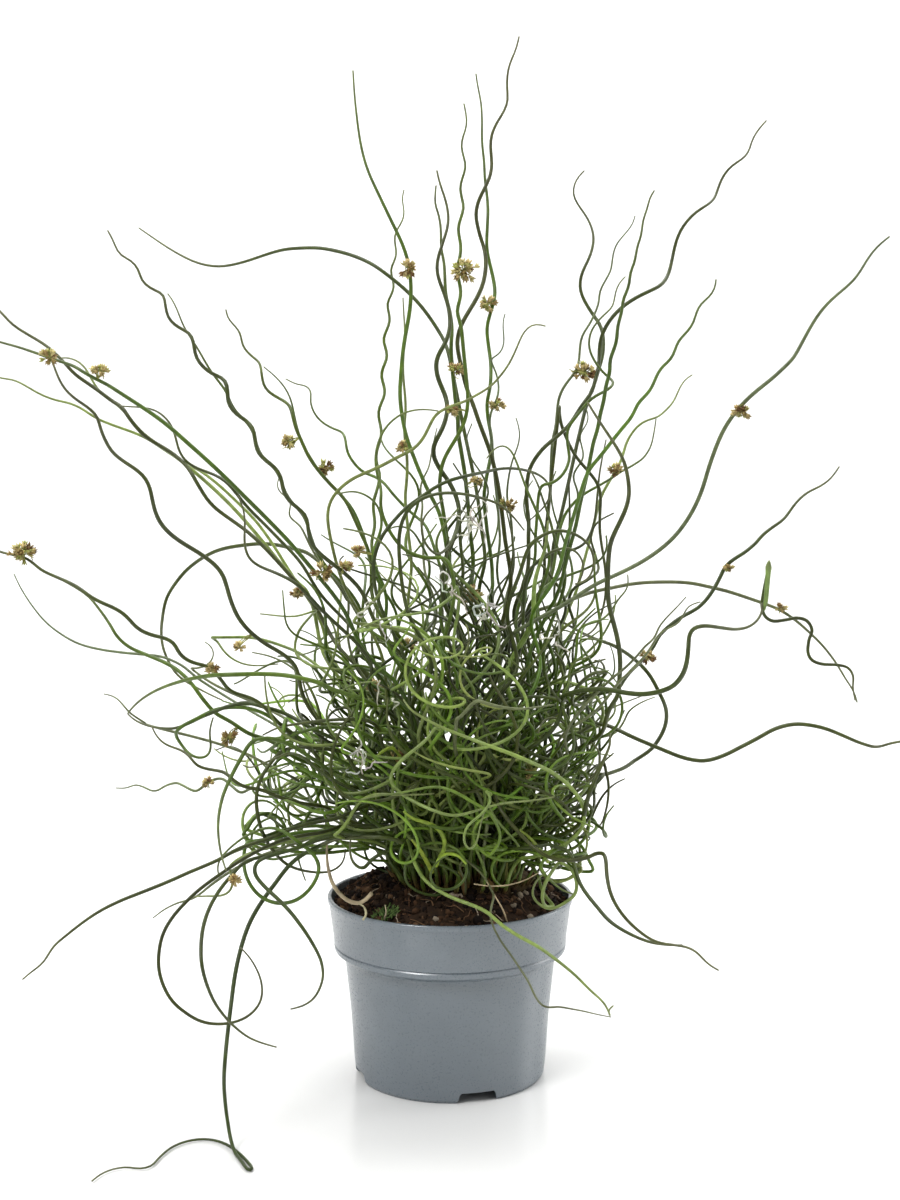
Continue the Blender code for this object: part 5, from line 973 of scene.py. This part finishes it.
profile += [(FOOT_R - 0.0012, 0.0), (FOOT_R - WALL - 0.0004, 0.0), (FOOT_R - WALL - 0.0009, 0.0010), (FOOT_R - WALL - 0.0010, FLOOR_Z)]
profile += [(0.0200, FLOOR_Z + 0.0012), (0.0012, FLOOR_Z + 0.0012), (0.0012, FLOOR_Z + WALL + 0.0012), (0.0200, FLOOR_Z + WALL + 0.0012)]
profile += [(FOOT_R - WALL - 0.0030, FLOOR_Z + WALL), (FOOT_R - WALL, FLOOR_Z + WALL + 0.003)]
profile += [(BODY_R - WALL, BODY_Z - 0.003), (BODY_R - WALL + 0.0004, BODY_Z), (BAND_R - WALL, BAND_Z + 0.002)]
profile += [(RIM_R - WALL - 0.0008, POT_H - 0.0012), (RIM_R - WALL - 0.0004, POT_H - 0.0003), (RIM_R - WALL + 0.0002, POT_H)]
V, F = lathe(profile, 144)
me = bpy.data.meshes.new("nursery_pot")
me.from_pydata(V, [], F)
bm = bmesh.new()
bm.from_mesh(me)
bmesh.ops.recalc_face_normals(bm, faces=bm.faces)
if bm.calc_volume(signed=True) < 0:
    bmesh.ops.reverse_faces(bm, faces=bm.faces)
bm.to_mesh(me)
bm.free()
pot = bpy.data.objects.new("nursery_pot", me)
scene.collection.objects.link(pot)
cutters = []
for deg in NOTCH_AT:
    a = math.radians(deg - 90.0)
    w0, w1 = NOTCH_W / 2, NOTCH_W / 2 - 0.0030
    r0, r1 = FOOT_R - 0.0085, FOOT_R + 0.0040
    prof = [(-w0, -0.004), (w0, -0.004), (w0 - 0.0022, NOTCH_H - 0.0012), (w1 - 0.0004, NOTCH_H), (-w1 + 0.0004, NOTCH_H), (-w0 + 0.0022, NOTCH_H - 0.0012)]
    k = len(prof)
    vs = [(r0, p, z) for p, z in prof] + [(r1, p, z) for p, z in prof]
    fs = [tuple(range(k - 1, -1, -1)), tuple(range(k, 2 * k))] + [(i, (i + 1) % k, k + (i + 1) % k, k + i) for i in range(k)]
    cm = bpy.data.meshes.new("notch")
    cm.from_pydata(vs, [], fs)
    c = bpy.data.objects.new("notch", cm)
    scene.collection.objects.link(c)
    c.rotation_euler = (0, 0, a)
    cutters.append(c)
for r, deg in [(0.0, 0)] + [(0.036, 60.0 + 90.0 * i) for i in range(4)]:
    a = math.radians(deg - 90.0)
    cm = bpy.data.meshes.new("drain")
    bm = bmesh.new()
    bmesh.ops.create_cone(bm, cap_ends=True, segments=24, radius1=0.0042, radius2=0.0042, depth=0.02)
    bm.to_mesh(cm)
    bm.free()
    c = bpy.data.objects.new("drain", cm)
    scene.collection.objects.link(c)
    c.location = (r * math.cos(a), r * math.sin(a), 0.008)
    cutters.append(c)
for c in cutters:
    mod = pot.modifiers.new("cut", "BOOLEAN")
    mod.operation = "DIFFERENCE"
    mod.solver = "EXACT"
    mod.object = c
bpy.context.view_layer.update()
dg = bpy.context.evaluated_depsgraph_get()
done = bpy.data.meshes.new_from_object(pot.evaluated_get(dg))
pot.modifiers.clear()
pot.data = done
for c in cutters:
    bpy.data.objects.remove(c, do_unlink=True)
bm = bmesh.new()
bm.from_mesh(done)
bmesh.ops.remove_doubles(bm, verts=bm.verts, dist=0.000005)
bm.to_mesh(done)
bm.free()
done.polygons.foreach_set("use_smooth", [True] * len(done.polygons))
done.set_sharp_from_angle(angle=math.radians(38))
done.materials.clear()
done.materials.append(M_POT)
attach(pot, "root")
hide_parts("pot")


# ------------------------------------------------------------------- peat
def lump(x, y, z=0.0, f=160.0):
    return noise.noise(Vector((x * f, y * f, z * f)))


soil = Heap("peat_surface", M_SOIL, "peat")
rings, steps = 60, 200
V, Cc = [], []
Rmax = 0.0668
for i in range(rings + 1):
    r = Rmax * (i / rings) ** 0.9
    for j in range(steps):
        a = math.tau * j / steps
        x, y = r * math.cos(a), r * math.sin(a)
        z = soil_height(x, y)
        edge = min(1.0, (Rmax - r) / 0.004)
        b = 0.0022 * lump(x, y, 0, 70) + 0.0013 * abs(lump(x, y, 1, 240)) + 0.0008 * lump(x, y, 2, 600)
        z += (b + 0.0006) * (0.35 + 0.65 * edge)
        V.append((x, y, z))
        t = 0.5 + 0.5 * lump(x, y, 3, 300)
        Cc.append(np.array([0.012, 0.008, 0.006]) * (1 - t) + np.array([0.040, 0.022, 0.012]) * t)
F = []
for i in range(rings):
    for j in range(steps):
        j2 = (j + 1) % steps
        F.append((i * steps + j, i * steps + j2, (i + 1) * steps + j2, (i + 1) * steps + j))
n0 = len(V)
for j in range(steps):
    a = math.tau * j / steps
    V.append((Rmax * math.cos(a) * 0.97, Rmax * math.sin(a) * 0.97, 0.085))
    Cc.append(np.array([0.02, 0.011, 0.007]))
for j in range(steps):
    j2 = (j + 1) % steps
    F.append((rings * steps + j, rings * steps + j2, n0 + j2, n0 + j))
F.append(tuple(n0 + j for j in range(steps - 1, -1, -1)))
bm = bmesh.new()
lay = bm.verts.layers.float_color.new("tint")
bv = [bm.verts.new(v) for v in V]
for f in F:
    ff = list(dict.fromkeys(f))
    try:
        bm.faces.new([bv[i] for i in ff])
    except ValueError:
        pass
for v, c in zip(bv, Cc):
    v[lay] = (*c, 1.0)
bmesh.ops.remove_doubles(bm, verts=bm.verts, dist=0.00002)
bmesh.ops.recalc_face_normals(bm, faces=bm.faces)
me = bpy.data.meshes.new("peat_surface")
bm.to_mesh(me)
bm.free()
me.polygons.foreach_set("use_smooth", [True] * len(me.polygons))
me.materials.append(M_SOIL)
peat = bpy.data.objects.new("peat_surface", me)
scene.collection.objects.link(peat)
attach(peat, "root")
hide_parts("peat_root_ball")

ico = bmesh.new()
bmesh.ops.create_icosphere(ico, subdivisions=2, radius=1.0)
IV = np.array([v.co[:] for v in ico.verts])
IF = [tuple(v.index for v in f.verts) for f in ico.faces]
ico.free()
ico = bmesh.new()
bmesh.ops.create_icosphere(ico, subdivisions=1, radius=1.0)
JV = np.array([v.co[:] for v in ico.verts])
JF = [tuple(v.index for v in f.verts) for f in ico.faces]
ico.free()

crumbs = Heap("peat_crumbs", M_SOIL, "peat")
rg = np.random.default_rng(9)
PAL = [np.array([0.014, 0.009, 0.007]), np.array([0.030, 0.017, 0.010]), np.array([0.066, 0.034, 0.018]),
       np.array([0.130, 0.074, 0.040]), np.array([0.330, 0.270, 0.200])]
for i in range(2300):
    r = 0.0662 * math.sqrt(rg.uniform(0.10, 1.0))
    a = rg.uniform(0, math.tau)
    x, y = r * math.cos(a), r * math.sin(a)
    size = rg.choice([0.0006, 0.0009, 0.0014, 0.0023], p=[0.33, 0.35, 0.22, 0.10]) * rg.uniform(0.8, 1.2)
    z = soil_height(x, y) + 0.0006 + 0.0022 * lump(x, y, 0, 70) * (0.35 + 0.65 * min(1.0, (Rmax - r) / 0.004)) + size * 0.25
    if r + size > 0.0672:
        continue
    big = size > 0.0011
    bv_, bf_ = (IV, IF) if big else (JV, JF)
    sc = rg.uniform(0.6, 1.4, 3) * size
    ax = rg.normal(0, 1, 3)
    q = bv_ * sc
    th = rg.uniform(0, 6.28)
    cth, sth = math.cos(th), math.sin(th)
    q = np.stack([q[:, 0] * cth - q[:, 1] * sth, q[:, 0] * sth + q[:, 1] * cth, q[:, 2]], axis=1)
    q = q * (1 + 0.28 * np.sin(bv_[:, 0:1] * 5 + ax[0] * 3) * np.cos(bv_[:, 1:2] * 4 + ax[1] * 3))
    col = PAL[int(rg.choice(5, p=[0.38, 0.32, 0.18, 0.095, 0.025]))] * rg.uniform(0.55, 0.95)
    # painted shade: each crumb is lighter on its top and darker underneath
    crumbs.add(q + np.array([x, y, z]), bf_, np.repeat(col[None, :], len(q), axis=0) * (0.8 + 0.4 * (bv_[:, 2:3] * 0.5 + 0.5)))
crumbs.build()

fibres = Heap("peat_fibres", M_SOIL, "peat")
rg = np.random.default_rng(10)
for i in range(230):
    r = 0.0640 * math.sqrt(rg.uniform(0.15, 1.0))
    a = rg.uniform(0, math.tau)
    x, y = r * math.cos(a), r * math.sin(a)
    L = rg.uniform(0.004, 0.013)
    th = rg.uniform(0, math.tau)
    pts = []
    for k in range(5):
        t = k / 4 - 0.5
        xx = x + math.cos(th) * L * t + rg.normal(0, 0.0006)
        yy = y + math.sin(th) * L * t + rg.normal(0, 0.0006)
        rr = math.hypot(xx, yy)
        if rr > 0.0660:
            xx, yy = xx * 0.0660 / rr, yy * 0.0660 / rr
        pts.append((xx, yy, soil_height(xx, yy) + 0.0016 + 0.0012 * math.sin(math.pi * (t + 0.5)) * rg.uniform(0, 1)))
    line = rounded(np.array(pts), 12)
    v, f, s = tube(line, np.linspace(0.00028, 0.00014, 12) * rg.uniform(0.7, 1.5), 5)
    col = PAL[int(rg.choice(5, p=[0.1, 0.2, 0.3, 0.25, 0.15]))] * rg.uniform(0.8, 1.4)
    fibres.add(v, f, np.repeat(col[None, :], len(v), axis=0))
fibres.build()

# crown: fibrous mat with old sheaths round the stem bases
crown = Heap("crown_mat", M_SOIL, "crown_fibre")
cb = bmesh.new()
bmesh.ops.create_uvsphere(cb, u_segments=96, v_segments=48, radius=1.0)
cv = np.array([v.co[:] for v in cb.verts])
cf = [tuple(v.index for v in f.verts) for f in cb.faces]
cb.free()
q = []
for x, y, z in cv:
    rr = math.hypot(x, y)
    X, Y = x * (CROWN_R - 0.0008), y * (CROWN_R - 0.0008)
    if z >= 0:
        Z = crown_height(CROWN_X + X, Y) - 0.0005 + 0.0012 * lump(X, Y, 4, 260) - (0.0 if z > 0 else 0.0)
    else:
        Z = 0.1035 + z * 0.015
    q.append((CROWN_X + X, Y, Z))
q = np.array(q)
t = np.array([0.5 + 0.5 * lump(a, b, 5, 420) for a, b, c in q])[:, None]
crown.add(q, cf, np.array([[0.030, 0.018, 0.009]]) * (1 - t) + np.array([[0.085, 0.060, 0.024]]) * t)
crown.build(("crown",))
sheaths = Heap("old_sheaths", M_SOIL, "crown_fibre")
rg = np.random.default_rng(33)
for i, (x, y) in enumerate(used):
    if i % 2:
        continue
    z = crown_height(x, y)
    lean = np.array([(x - CROWN_X) * rg.uniform(2, 9), y * rg.uniform(2, 9), 1.0]) + rg.normal(0, 0.15, 3)
    lean /= np.linalg.norm(lean)
    L = rg.uniform(0.008, 0.022)
    base = np.array([x, y, z - 0.001])
    side = np.cross(lean, rg.normal(0, 1, 3))
    side /= np.linalg.norm(side)
    line = rounded(np.array([base, base + lean * L * 0.5 + side * 0.001, base + lean * L + side * rg.uniform(0.001, 0.004)]), 10)
    r = rg.uniform(0.0011, 0.0017)
    v, f, s = tube(line, r * np.interp(np.linspace(0, 1, 10), [0, 0.6, 1], [1.0, 0.8, 0.12]), 6)
    col = [np.array([0.085, 0.045, 0.018]), np.array([0.16, 0.10, 0.04]), np.array([0.20, 0.20, 0.06]), np.array([0.05, 0.03, 0.014])][int(rg.integers(4))]
    sheaths.add(v, f, np.repeat(col[None, :], len(v), axis=0) * rg.uniform(0.8, 1.3))
sheaths.build()

# moss: a tuft of tiny leaves
moss = Heap("moss_leaves", M_MOSS, "moss")
rg = np.random.default_rng(44)
mc = at(385, 902, -0.0475)
for i in range(110):
    a = rg.uniform(0, math.tau)
    rr = 0.0052 * math.sqrt(rg.uniform(0, 1))
    x, y = mc[0] + rr * math.cos(a) * 1.3, mc[1] + rr * math.sin(a)
    z = soil_height(x, y) + 0.0008
    d = np.array([math.cos(a) * rg.uniform(0.2, 1.2), math.sin(a) * rg.uniform(0.2, 1.2), 1.0])
    d /= np.linalg.norm(d)
    L = rg.uniform(0.0018, 0.0042)
    line = rounded(np.array([(x, y, z), np.array([x, y, z]) + d * L * 0.6, np.array([x, y, z]) + d * L + np.array([0, 0, -0.0005])]), 6)
    v, f, s = tube(line, np.interp(np.linspace(0, 1, 6), [0, 0.5, 1], [0.0003, 0.00055, 0.0001]), 4)
    col = np.array([0.075, 0.120, 0.035]) * rg.uniform(0.6, 1.6)
    moss.add(v, f, np.repeat(col[None, :], len(v), axis=0) * (0.7 + 0.5 * s[:, None]))
moss.build(("moss_tuft",))

# ------------------------------------------------------- floor and lights
fm, fnt, fb = new_material("studio_floor")
fb.inputs["Base Color"].default_value = (0.735, 0.735, 0.727, 1)
fb.inputs["Roughness"].default_value = 0.22
fb.inputs["Specular IOR Level"].default_value = 0.5
sweep = [(-4.0, 0.0), (1.4, 0.0)]
sweep += [(1.4 + 1.3 * math.sin(t * math.pi / 48), 1.3 - 1.3 * math.cos(t * math.pi / 48)) for t in range(1, 25)]
sweep += [(2.7, 5.0)]
me = bpy.data.meshes.new("floor")
me.from_pydata([(x, y, z) for y, z in sweep for x in (-5.0, 5.0)], [], [(2 * i, 2 * i + 1, 2 * i + 3, 2 * i + 2) for i in range(len(sweep) - 1)])
me.polygons.foreach_set("use_smooth", [True] * len(me.polygons))
me.materials.append(fm)
floor = bpy.data.objects.new("floor", me)
scene.collection.objects.link(floor)
floor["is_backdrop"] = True


def area(name, loc, aim, size, watts, colour=(1, 1, 1)):
    L = bpy.data.lights.new(name, "AREA")
    L.shape = "RECTANGLE"
    L.size, L.size_y = size
    L.energy = watts
    L.color = colour
    o = bpy.data.objects.new(name, L)
    scene.collection.objects.link(o)
    o.location = loc
    o.rotation_euler = (Vector(aim) - Vector(loc)).to_track_quat("-Z", "Y").to_euler()
    return o


area("key", (-1.1, -1.3, 1.9), (0, 0, 0.25), (0.8, 0.8), 40)
area("fill", (1.5, -0.9, 1.3), (0, 0, 0.25), (1.0, 1.4), 5)
area("top", (0.1, 0.6, 2.2), (0, 0, 0.2), (1.4, 1.0), 25)
area("side", (1.7, 0.5, 0.6), (0, 0, 0.12), (0.8, 1.0), 12)
area("backdrop_light", (0, 0.7, 2.6), (0, 2.7, 0.7), (3.6, 1.2), 80)

world = bpy.data.worlds.new("studio")
scene.world = world
world.use_nodes = True
wn = world.node_tree
bg = wn.nodes["Background"]
tc = wn.nodes.new("ShaderNodeTexCoord")
sx = wn.nodes.new("ShaderNodeSeparateXYZ")
mr = wn.nodes.new("ShaderNodeMapRange")
wn.links.new(tc.outputs["Generated"], sx.inputs[0])
wn.links.new(sx.outputs["Y"], mr.inputs["Value"])
mr.inputs["From Min"].default_value = -0.9
mr.inputs["From Max"].default_value = 0.35
mr.inputs["To Min"].default_value = 0.24
mr.inputs["To Max"].default_value = 1.02
wn.links.new(mr.outputs["Result"], bg.inputs["Strength"])
bg.inputs["Color"].default_value = (1, 1, 1, 1)

cam_data = bpy.data.cameras.new("cam")
cam_data.sensor_width = 36.0
cam_data.lens = 36.0 * SCALE / 1200.0
cam_data.clip_start = 0.01
cam = bpy.data.objects.new("cam", cam_data)
scene.collection.objects.link(cam)
cam.location = tuple(EYE)
cam.rotation_euler = (math.radians(90) - TILT, 0, 0)
scene.camera = cam
scene.view_settings.view_transform = "Standard"
scene.view_settings.look = "None"

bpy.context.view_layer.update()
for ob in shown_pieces():
    if not ob.hide_render and ob.type == "MESH":
        ob.data.calc_loop_triangles()
        t = len(ob.data.loop_triangles)
        if t > 150000:
            print("BIG", ob.name, t)
